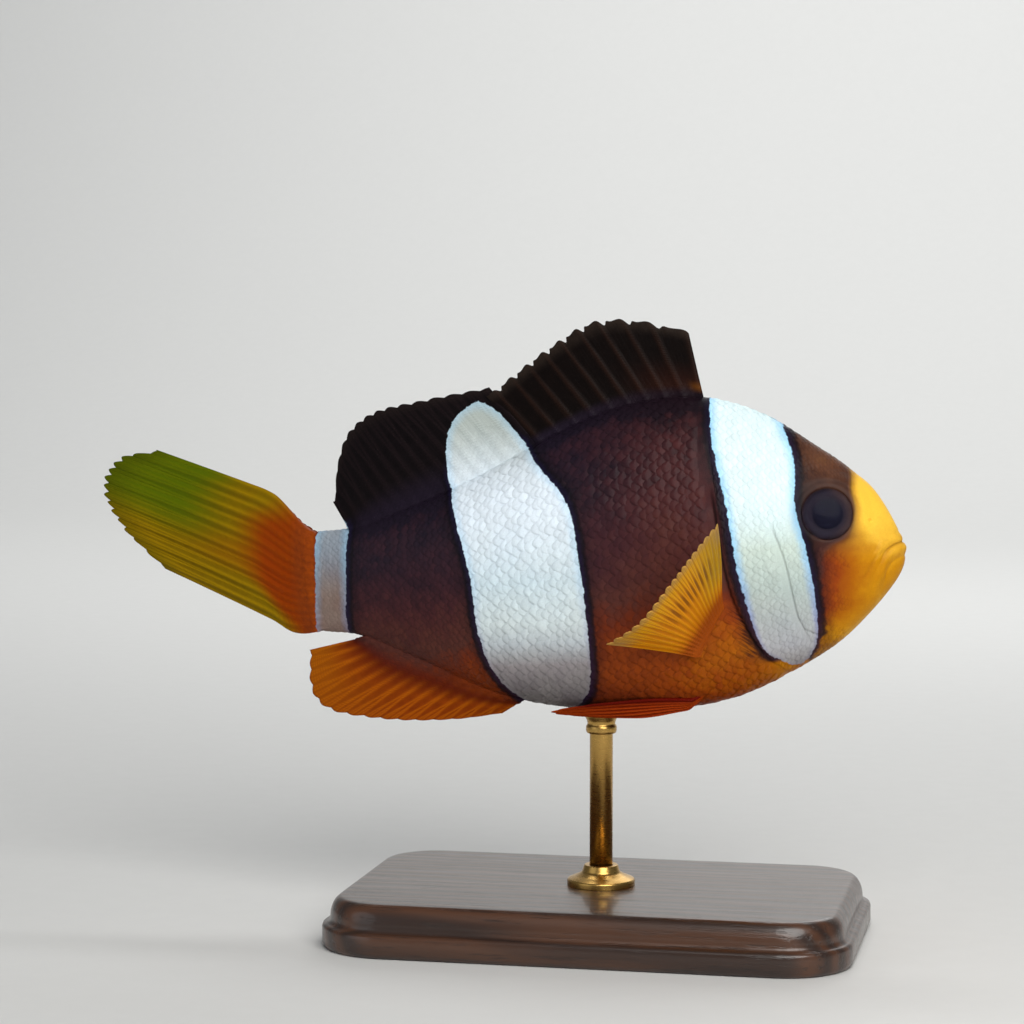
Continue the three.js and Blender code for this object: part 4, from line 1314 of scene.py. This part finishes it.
def ray_and_web(look, rays, webs):
    """Colour of a fin's rays and of the membrane between them, each between two tones."""
    ray = blend(look["Streak"], paint(*rays[0]), paint(*rays[1]))
    web = blend(look["Mottle"], paint(*webs[0]), paint(*webs[1]))
    return blend(look["Web"], ray, web)


def dark_fin_colour(u, t, look):
    """Near black, a little browner at its root and in front, with greyer tips."""
    colour = ray_and_web(look, ((20, 11, 8), (38, 22, 16)), ((6, 3, 3), (16, 9, 7)))
    colour = blend(t.fade(0.55, 0.05) * u.fade(0.5, 0.1) * 0.4, colour, paint(56, 24, 14))
    colour = blend(t.fade(0.24, 0.08) * u.fade(0.07, 0.0) * 0.55, colour, paint(120, 70, 16))
    return blend(t.fade(0.78, 1.0) * (look["Mottle"] * 0.7 + 0.2), colour, paint(52, 42, 36))


def soft_fin_colour(u, t, look):
    colour = ray_and_web(look, ((14, 9, 11), (28, 19, 21)), ((6, 4, 5), (18, 12, 14)))
    return blend(t.fade(0.85, 1.0, 0.0, 0.3), colour, paint(44, 35, 32))


def anal_colour(u, t, look):
    """Orange, with a dark red root and an amber rear."""
    colour = ray_and_web(look, ((150, 64, 2), (172, 90, 4)), ((108, 40, 2), (140, 58, 2)))
    colour = blend(u.fade(0.4, 1.0) * t.fade(0.35, 0.8) * 0.5, colour, paint(166, 94, 2))
    return blend(t.fade(0.12, 0.5, 1.0, 0.0), colour, paint(80, 18, 5))


def tail_colour(u, t, look):
    """Orange at its root, olive yellow further out and greener at the upper tip."""
    colour = ray_and_web(look, ((132, 100, 0), (152, 122, 2)), ((100, 76, 0), (122, 96, 0)))
    inner = u.fade(0.2, 0.42) * u.fade(0.66, 0.48)
    colour = blend(inner * t.fade(0.75, 0.4, 0.0, 0.5), colour, paint(140, 80, 0))
    colour = blend(t.fade(0.34, 0.66) * u.fade(0.3, 0.66) * 0.85, colour, paint(74, 96, 0))
    colour = blend(t.fade(0.8, 1.0, 0.0, 0.45), colour, paint(58, 60, 0))
    near = t + (u - 0.52).single("ABSOLUTE").fade(0.18, 0.5, 0.0, 0.16)
    colour = blend(near.fade(0.2, 0.4, 0.9, 0.0), colour, paint(138, 44, 0))
    return blend(t.fade(0.1, 0.0, 0.0, 0.5), colour, paint(112, 52, 24))


def pectoral_colour(u, t, look):
    """Rust at its root, gold with darker gaps between the rays, and paler tips."""
    colour = ray_and_web(look, ((226, 160, 14), (250, 190, 34)), ((180, 108, 8), (212, 140, 12)))
    colour = blend(u.fade(0.4, 0.05) * t.fade(0.2, 0.55) * 0.6, colour, paint(158, 128, 4))
    colour = blend(u.fade(0.15, 0.5) * t.fade(1.0, 0.6) * 0.55, colour, paint(238, 136, 10))
    gap = look["Web"].fade(0.7, 1.0) * (t.fade(0.46, 0.6) * t.fade(0.82, 0.68))
    gap = gap * (u.fade(0.08, 0.2) * u.fade(0.78, 0.6))
    colour = blend(gap * 0.65, colour, paint(104, 58, 8))
    colour = blend(t.fade(0.1, 0.4, 0.9, 0.0), colour, paint(190, 96, 12))
    colour = blend(t.fade(0.1, 0.24, 0.85, 0.0), colour, paint(160, 72, 20))
    ends = u.fade(0.14, 0.0).most(u.fade(0.84, 1.0))
    tips = (ends * t.fade(0.7, 0.9, 0.0, 0.6)).most(t.fade(0.88, 1.0, 0.0, 0.6))
    return blend(tips, colour, paint(160, 128, 90))


def pelvic_colour(u, t, look):
    colour = ray_and_web(look, ((150, 46, 4), (176, 70, 6)), ((110, 24, 3), (138, 42, 5)))
    return blend(u.fade(0.7, 1.0), colour, paint(96, 14, 4))


# ---------- Eyes ----------


def ball_height(radius):
    """The iris slopes down round a pupil that bulges a little."""
    past = radius - EYE["pupil"]
    pupil = 0.1 + 0.34 * np.sqrt(np.clip(1 - (radius / (EYE["pupil"] + 0.07)) ** 2, 0, 1))
    iris = mix(0.1, ball_level(radius) - 0.08, ease(past, 0.05, 1.1)) + 0.04 * bell(past - 0.12, 0.1)
    return np.minimum(np.where(past < 0, pupil, iris), ball_level(radius) - 0.06)


def turned_disc(side, profile, around=96):
    """A surface turned round an eye's axis from (radius, height) pairs: points, faces and values
    that give each point's distance from the axis, and how far ahead and up it is."""
    look, centre = (vector * np.array((1, side, 1)) for vector in (EYE_LOOK, EYE_PLACE))
    across = unit(np.cross(look, (0.0, 0.0, 1.0)))
    up = np.cross(across, look)
    radius, height = np.array(profile).T[:, :, None]
    angle = np.linspace(0, 2 * math.pi, around, endpoint=False)
    ring = across * np.cos(angle)[:, None] + up * np.sin(angle)[:, None]
    points = centre + ring * radius[..., None] + look * height[..., None]
    faces = [grid_faces(len(profile), around, closed=True), *end_caps(len(profile), around)]
    values = np.stack(np.broadcast_arrays(radius, np.cos(angle) * side, np.sin(angle)), axis=-1)
    return points.reshape(-1, 3), faces, values.reshape(-1, 3)


def make_eye(side, word):
    """The ball with its iris and pupil, and the clear cornea over it."""
    pupil, edge = EYE["pupil"], EYE["radius"]
    spans = ((0.02, pupil - 0.05, 20), (pupil - 0.02, pupil + 0.28, 9), (pupil + 0.33, edge - 0.01, 22))
    radius = np.concatenate([np.linspace(*span) for span in spans])
    ball = [*zip(radius, ball_height(radius)), (edge - 0.35, -1.2), (edge - 1.4, -1.7), (0.02, -1.9)]
    radius = np.sin(np.linspace(0.005, 0.5 * math.pi, 30)) * (edge - 0.01)
    outer = [*zip(radius, ball_level(radius))]
    inner = [(r * 0.985, h - 0.1 * (1 - (r / 3.8) ** 2) - 0.005) for r, h in outer[::-1]]
    pieces = []
    for name, profile in (("eyeball", ball), ("cornea", outer + inner)):
        points, faces, values = turned_disc(side, profile)
        piece = make_mesh(f"{name}_{word}", pose(points), faces, {"place": points, "iris": values})
        face_outwards(piece)
        pieces.append(piece)
    return pieces


def face_outwards(piece):
    """Turns a closed mesh's faces outwards."""
    shell = bmesh.new()
    shell.from_mesh(piece.data)
    bmesh.ops.recalc_face_normals(shell, faces=shell.faces)
    shell.to_mesh(piece.data)
    shell.free()


def eyeball_material():
    """Dark iris with fine fibres, browner in front, and a soft-edged pupil."""
    material, tree, surface = new_material("eye iris and pupil")
    radius, ahead, up = split(attribute(tree, "iris", "Vector"))
    pupil_edge, rim = EYE["pupil"], EYE["opening"]
    streak_at = add_node(tree, "CombineXYZ", {0: ahead * 14.0, 1: up * 14.0, 2: radius * 0.6})[0]
    streak = noise(streak_at, 1.0)
    cloud = noise(attribute(tree, "place", "Vector"), 1.6, 2.0)
    colour = blend(streak, paint(36, 32, 44), paint(52, 45, 55))
    colour = blend(ahead.fade(-0.1, 0.9) * radius.fade(pupil_edge, rim) * 0.7, colour, paint(82, 62, 56))
    colour = blend(radius.fade(rim - 0.3, rim + 0.1, 0.0, 0.7), colour, paint(56, 38, 38))
    pupil = blend(cloud, paint(16, 16, 28), paint(26, 25, 42))
    colour = blend(radius.fade(pupil_edge + 0.3, pupil_edge - 0.15), colour, pupil)
    fibres = streak * radius.fade(pupil_edge, pupil_edge + 0.2)
    finish(surface, colour, fibres.fade(0.0, 1.0, 0.3, 0.5), bump(fibres, 0.4, 0.00008))
    plug(surface, {"Specular IOR Level": 0.03})
    return material


def cornea_material():
    material, tree, surface = new_material("eye clear cornea")
    film = noise(attribute(tree, "place", "Vector"), 2.2, 2.0)
    tint = blend(film, paint(236, 240, 246), paint(250, 250, 250))
    finish(surface, tint, film.fade(0.2, 0.8, 0.01, 0.04), bump(film, 0.08, 0.00005))
    plug(surface, {"Transmission Weight": 1.0, "IOR": 1.07})
    return material


# ---------- Stand ----------


def lathe(name, profile, around=96):
    """A piece turned about the rod's axis from (radius, height) pairs in millimetres."""
    radius, height = np.array(profile, float).T[:, :, None]
    angle = np.linspace(0, 2 * math.pi, around, endpoint=False)
    x, y = ROD_X + radius * np.cos(angle), ROD_Y + radius * np.sin(angle)
    points = np.stack((x, y, np.broadcast_to(height, x.shape)), axis=-1)
    faces = [grid_faces(len(profile), around, closed=True)]
    if radius[0] < 0.1:
        faces += end_caps(len(profile), around)
    piece = make_mesh(name, points.reshape(-1, 3) / 1000, faces)
    face_outwards(piece)
    return piece


def rounded(profile, sizes, steps=5):
    """A closed (radius, height) profile with its corners rounded by the given sizes."""
    result = []
    corners = np.array(profile, float)
    for i, size in enumerate(sizes):
        here, before, after = corners[i], corners[i - 1], corners[(i + 1) % len(corners)]
        if size == 0:
            result.append(tuple(here))
            continue
        start, end = here + unit(before - here) * size, here + unit(after - here) * size
        for t in np.linspace(0, 1, steps):
            result.append(tuple((1 - t) ** 2 * start + 2 * t * (1 - t) * here + t * t * end))
    return result


def make_base():
    """The wooden base: a rounded slab with a small step and softened edges."""
    low, high = (np.array(corner) * 1000 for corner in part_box("stand_base"))
    centre, half = (low + high) / 2, (high - low) / 2
    top, step = high[2], 3.7
    # (distance in from the outline, height) pairs, up the side and in over the top.
    ledge = 1.05
    levels = [(0.9, 0.0), (0.25, 0.12), (0.0, 0.7), (0.0, 2.6), (0.12, 2.95), (0.55, 3.1), (0.95, 3.3)]
    levels.append((ledge, step))
    turns = np.linspace(0.15, math.pi / 2, 9)
    levels += [(ledge + 1.6 * (1 - math.cos(a)), step + (top - step) * math.sin(a)) for a in turns]
    levels += [(inset, top) for inset in (3.4, 6.0, 10.0, 15.0, 20.0)]
    corner_steps, straight = 14, 9
    turn = np.linspace(0, math.pi / 2, corner_steps)
    part = np.linspace(0, 1, straight + 2)[1:-1, None]
    rings = []
    for inset, height in levels:
        corner = max(9.0 - inset, 0.6)
        hub = half[:2] - inset - corner
        corners = []
        for k, signs in enumerate(((1, 1), (-1, 1), (-1, -1), (1, -1))):
            arc = np.stack((np.cos(turn + k * math.pi / 2), np.sin(turn + k * math.pi / 2)), axis=1)
            corners.append(np.array(signs) * hub + corner * arc)
        ring = []
        for here, after in zip(corners, corners[1:] + corners[:1]):
            ring += [here, mix(here[-1], after[0], part)]
        ring = np.concatenate(ring) + centre[:2]
        rings.append(np.column_stack((ring, np.full(len(ring), height))))
    count, around = len(rings), len(rings[0])
    points = np.concatenate((*rings, [(*centre[:2], top), (*centre[:2], 0.0)]))
    first = np.arange(around)
    last = (count - 1) * around + first
    lid = np.stack((np.full(around, len(points) - 2), last, np.roll(last, -1)), axis=1)
    underside = np.stack((np.full(around, len(points) - 1), np.roll(first, -1), first), axis=1)
    piece = make_mesh("base", points / 1000, [grid_faces(count, around, closed=True), lid, underside])
    face_outwards(piece)
    return piece


def wear_group():
    """Fine scratches and dull patches of handled wood and metal."""
    name = "Handling wear"
    found = bpy.data.node_groups.get(name)
    if found:
        return found
    inputs = [("Vector", "Vector"), ("Along", "Vector", (40.0, 900.0, 900.0))]
    group, given, out = new_group(name, inputs, [("Scratch", "Float"), ("Patch", "Float")])
    along = add_node(group, "VectorMath", {0: given["Vector"], 1: given["Along"]}, operation="MULTIPLY")[0]
    plug(out, {"Scratch": noise(along, 1.0, 4.0, 0.65), "Patch": noise(given["Vector"], 70.0)})
    return group


def wood_material():
    colours = bpy.context.scene.stand_colours
    material, tree, surface = new_material("dark stained wood")
    where = object_place(tree)
    flow = noise(stretch(where, (14.0, 60.0, 60.0)), 1.0, 2.0)
    bent = add_node(tree, "VectorMath", {0: stretch(where, (9.0, 120.0, 70.0)), 1: flow}, operation="ADD")[0]
    wave = {"Vector": bent, "Scale": 1.1, "Distortion": 5.0, "Detail": 3.0, "Detail Scale": 1.4}
    rings = add_node(tree, "TexWave", wave, bands_direction="Y")[1]
    pores = noise(stretch(where, (120.0, 1700.0, 1700.0)), 1.0, 3.0, 0.7)
    wear = use_group(tree, wear_group(), {"Vector": where, "Along": (40.0, 700.0, 700.0)})
    colour = blend(rings * 0.6, colours.wood_dark, colours.wood_light)
    colour = blend(pores.fade(0.52, 0.72, 0.0, 0.65), colour, paint(24, 13, 8))
    colour = blend(wear["Patch"] * 0.3, colour, colours.wood_dark)
    height = rings * 0.2 - pores.fade(0.52, 0.72)
    finish(surface, colour, wear["Scratch"] * 0.22 + 0.22, bump(height, 0.35, 0.00015))
    plug(surface, {"Coat Weight": 0.35, "Coat Roughness": 0.12})
    return material


def brass_material():
    material, tree, surface = new_material("brushed brass")
    where = object_place(tree)
    wear = use_group(tree, wear_group(), {"Vector": where, "Along": (900.0, 900.0, 5200.0)})
    colour = blend(wear["Patch"], paint(168, 128, 66), bpy.context.scene.stand_colours.brass)
    finish(surface, colour, wear["Scratch"] * 0.26 + 0.16, bump(wear["Scratch"], 0.25, 0.00004))
    plug(surface, {"Metallic": 1.0})
    return material


# ---------- Operators ----------


class CLOWNFISH_OT_skin(bpy.types.Operator):
    """Make the one skin of the head, gill covers, jaw, trunk and tail stem"""

    bl_idname = "clownfish.skin"
    bl_label = "Skin"

    def execute(self, context):
        piece = make_skin()
        material = fish_material("wet fish skin", 0.0, 0.4, 7.0, 0.00005)
        nodes = ("head", "lower_jaw", "gill_cover_right", "gill_cover_left", "trunk", "tail_stem")
        finish_piece(piece, material, "body_skin", *nodes)
        return {"FINISHED"}


# The body's scale pieces: where each starts and ends, and its share of the front piece's rows.
BODY_SCALES = (("front", 15.0, 44.0, 1.0), ("middle", 44.0, 63.0, 0.82), ("stem", 63.0, 79.4, 0.6))


class CLOWNFISH_OT_scales(bpy.types.Operator):
    """Lay the overlapping scales over the head, flanks and tail stem"""

    bl_idname = "clownfish.scales"
    bl_label = "Scales"

    def execute(self, context):
        sizes = context.scene.fish_sizes
        material = fish_material("scales", 0.25, 0.42, 9.0, 0.00003)
        lift = sizes.scale_lift * 1000
        for side, word in SIDES:
            head = make_scales(f"scales_head_{word}", side, sizes.head_rows, 5.2, 25.0, lift, 11 + side, True)
            finish_piece(head, material, "head_skin")
            for part, start, end, share in BODY_SCALES:
                rows = round(sizes.body_rows * share)
                body = make_scales(f"scales_{part}_{word}", side, rows, start, end, lift, int(start) + side)
                finish_piece(body, material, "body_skin")
        return {"FINISHED"}


class CLOWNFISH_OT_eyes(bpy.types.Operator):
    """Set the eyes with their clear corneas"""

    bl_idname = "clownfish.eyes"
    bl_label = "Eyes"

    def execute(self, context):
        materials = eyeball_material(), cornea_material()
        for side, word in SIDES:
            for piece, material in zip(make_eye(side, word), materials):
                finish_piece(piece, material, "eye", f"eye_{word}")
        return {"FINISHED"}


class CLOWNFISH_OT_median_fins(bpy.types.Operator):
    """Make the dorsal, anal and tail fins"""

    bl_idname = "clownfish.median_fins"
    bl_label = "Dorsal, anal and tail fins"

    def execute(self, context):
        for make, node, slot, *looks in (
            (spiny_dorsal, "dorsal_fin_spiny", "dark_fin", "dark spiny fin", dark_fin_colour, 70.0, 0.14),
            (soft_dorsal, "dorsal_fin_soft", "dark_fin", "dark soft fin", soft_fin_colour, 110.0, 0.32, True),
            (anal_fin, "anal_fin", "orange_fin", "orange fin", anal_colour, 110.0, 0.26),
            (tail_fin, "caudal_fin", "yellow_fin", "yellow tail fin", tail_colour, 120.0, 0.1),
        ):
            fin, sheath = make()
            material = fin_material(*looks)
            finish_piece(fin, material, slot, node)
            finish_piece(sheath, material, slot)
        return {"FINISHED"}


class CLOWNFISH_OT_paired_fins(bpy.types.Operator):
    """Make the pectoral and pelvic fins"""

    bl_idname = "clownfish.paired_fins"
    bl_label = "Pectoral and pelvic fins"

    def execute(self, context):
        pectoral = fin_material("yellow pectoral fin", pectoral_colour, 140.0)
        pelvic = fin_material("red pelvic fin", pelvic_colour, 60.0)
        for side, word in SIDES:
            finish_piece(make_pectoral(side, word), pectoral, "yellow_fin", f"pectoral_fin_{word}")
            finish_piece(make_pelvic(side, word), pelvic, "orange_fin", f"pelvic_fin_{word}")
        return {"FINISHED"}


class CLOWNFISH_OT_stand(bpy.types.Operator):
    """Make the wooden base, its collar and the rod"""

    bl_idname = "clownfish.stand"
    bl_label = "Stand"

    def execute(self, context):
        finish_piece(make_base(), wood_material(), "stand_wood", "stand_base")
        brass = brass_material()
        low, high = (np.array(corner) * 1000 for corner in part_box("stand_collar"))
        radius, foot, top = (high[0] - low[0]) / 2, low[2] - 0.05, high[2]
        bore = ROD["radius"] + 0.02
        profile = [(bore, foot), (radius, foot), (radius, foot + 0.8), (radius * 0.74, foot + 1.25)]
        profile += [(radius * 0.56, foot + 1.7), (radius * 0.5, top), (bore, top)]
        collar = rounded(profile, (0, 0.06, 0.22, 0.3, 0.25, 0.15, 0.04)) + [profile[0]]
        finish_piece(lathe("collar", collar), brass, "stand_metal", "stand_collar")
        # The rod's top is rounded, and a ferrule closes round it under the belly.
        foot, top = ROD_LOW[2], ROD_HIGH[2]
        radius = ROD["radius"]
        rod = [(0.02, foot), (radius, foot), (radius, top - 0.6), (radius, top + 0.3)]
        rod += [(1.1, top + 0.9), (0.02, top + 1.0)]
        finish_piece(lathe("rod", rod), brass, "stand_metal", "stand_rod")
        cup = [(1.52, -2.6), (1.85, -2.6), (2.0, -2.3), (2.0, -1.7), (1.8, -1.4), (1.85, -1.0)]
        cup = [(radius, top + height) for radius, height in cup + [(2.5, 0.3), (2.3, 0.9), (1.52, 0.9)]]
        ferrule = rounded(cup, (0, 0.1, 0.15, 0.15, 0.1, 0.2, 0.2, 0.1, 0)) + [cup[0]]
        finish_piece(lathe("ferrule", ferrule), brass, "stand_metal")
        return {"FINISHED"}


def put_up(item, place, turn):
    """Puts a lamp or camera in the scene, turned by a quaternion."""
    item.location = place
    item.rotation_mode = "QUATERNION"
    item.rotation_quaternion = turn
    bpy.context.scene.collection.objects.link(item)


def area_light(name, place, target, size, power, colour):
    """A round lamp that the camera doesn't see."""
    data = bpy.data.lights.new(name, "AREA")
    data.shape, data.size, data.energy, data.color = "DISK", size, power, colour
    lamp = bpy.data.objects.new(name, data)
    lamp.visible_camera = False
    put_up(lamp, place, (Vector(target) - Vector(place)).to_track_quat("-Z", "Y"))


def make_floor(colour):
    """A floor that curves up into a backdrop."""
    bend = 0.5
    outline = [(-1.6, 0.0), (0.7, 0.0)]
    turns = np.linspace(0, math.pi / 2, 16)[1:]
    outline += [(0.7 + bend * math.sin(a), bend - bend * math.cos(a)) for a in turns]
    outline += [(1.2, 2.4)]
    points = [(x, y, z) for y, z in outline for x in (-2.5, 2.5)]
    floor = make_mesh("floor", np.array(points), [grid_faces(len(outline), 2)])
    material, tree, surface = new_material("pale studio paper")
    grain = noise(object_place(tree), 260.0)
    tint = blend(grain * 0.25, colour, paint(208, 208, 206))
    finish(surface, tint, grain.fade(0.0, 1.0, 0.7, 0.85), bump(grain, 0.1, 0.0002))
    floor.data.materials.append(material)
    return floor


class CLOWNFISH_OT_stage(bpy.types.Operator):
    """Set the pale floor, the lamps and the camera"""

    bl_idname = "clownfish.stage"
    bl_label = "Floor, lamps and camera"

    def execute(self, context):
        scene = context.scene
        studio = scene.studio
        floor = make_floor(studio.floor)

        world = bpy.data.worlds.new("soft room")
        world.use_nodes = True
        plug(world.node_tree.nodes["Background"], {0: (0.82, 0.86, 0.9, 1), 1: 0.2})
        scene.world = world

        middle, white = (-0.005, 0.0, 0.05), (1.0, 1.0, 1.0)
        warm = (1.0, 0.98, 0.95)
        area_light("key light", (0.14, -0.26, 0.24), (0.0, 0, 0.055), 0.3, studio.key_power, warm)
        area_light("fill light", (-0.42, -0.42, 0.16), middle, 0.5, studio.fill_power, (0.9, 0.95, 1.0))
        area_light("rim light", (0.05, 0.42, 0.34), middle, 0.3, studio.rim_power, white)
        back = (0.0, 1.2, 0.35)
        area_light("backdrop light", (0.0, 0.45, 0.9), back, 0.8, studio.backdrop_power, white)

        data = bpy.data.cameras.new("camera")
        data.lens, data.sensor_width = 100.0, 36.0
        data.clip_start, data.clip_end = 0.01, 20.0
        camera = bpy.data.objects.new("camera", data)
        azimuth, elevation, distance = math.radians(12), math.radians(4), 0.370
        target = Vector((-0.01187, 0.0, 0.05497))
        level = math.cos(elevation)
        back = Vector((math.sin(azimuth) * level, -math.cos(azimuth) * level, math.sin(elevation)))
        put_up(camera, target + back * distance, (-back).to_track_quat("-Z", "Y"))
        scene.camera = camera
        scene.view_settings.view_transform = "Standard"
        return {"FINISHED"}


class CLOWNFISH_PT_panel(bpy.types.Panel):
    """Lists the fish's pieces and settings"""

    bl_label = "Clownfish"
    bl_idname = "CLOWNFISH_PT_panel"
    bl_space_type = "VIEW_3D"
    bl_region_type = "UI"
    bl_category = "Clownfish"

    def draw(self, context):
        layout = self.layout
        for operator in OPERATORS:
            layout.operator(operator.bl_idname)
        for name in ("fish_colours", "fish_sizes", "stand_colours", "studio"):
            settings = getattr(context.scene, name)
            box = layout.box()
            for key in settings.__annotations__:
                box.prop(settings, key)


OPERATORS = (
    CLOWNFISH_OT_skin,
    CLOWNFISH_OT_scales,
    CLOWNFISH_OT_eyes,
    CLOWNFISH_OT_median_fins,
    CLOWNFISH_OT_paired_fins,
    CLOWNFISH_OT_stand,
    CLOWNFISH_OT_stage,
)
SETTINGS = {
    "fish_colours": FishColours,
    "fish_sizes": FishSizes,
    "stand_colours": StandColours,
    "studio": StudioSettings,
}


def register():
    for item in (*SETTINGS.values(), *OPERATORS, CLOWNFISH_PT_panel):
        bpy.utils.register_class(item)
    for name, settings in SETTINGS.items():
        setattr(bpy.types.Scene, name, bpy.props.PointerProperty(type=settings))


def unregister():
    for name in SETTINGS:
        delattr(bpy.types.Scene, name)
    for item in (CLOWNFISH_PT_panel, *OPERATORS, *SETTINGS.values()):
        bpy.utils.unregister_class(item)


def main():
    register()
    for operator in OPERATORS:
        name = operator.bl_idname.split(".")[1]
        getattr(bpy.ops.clownfish, name)()


if __name__ == "__main__":
    main()
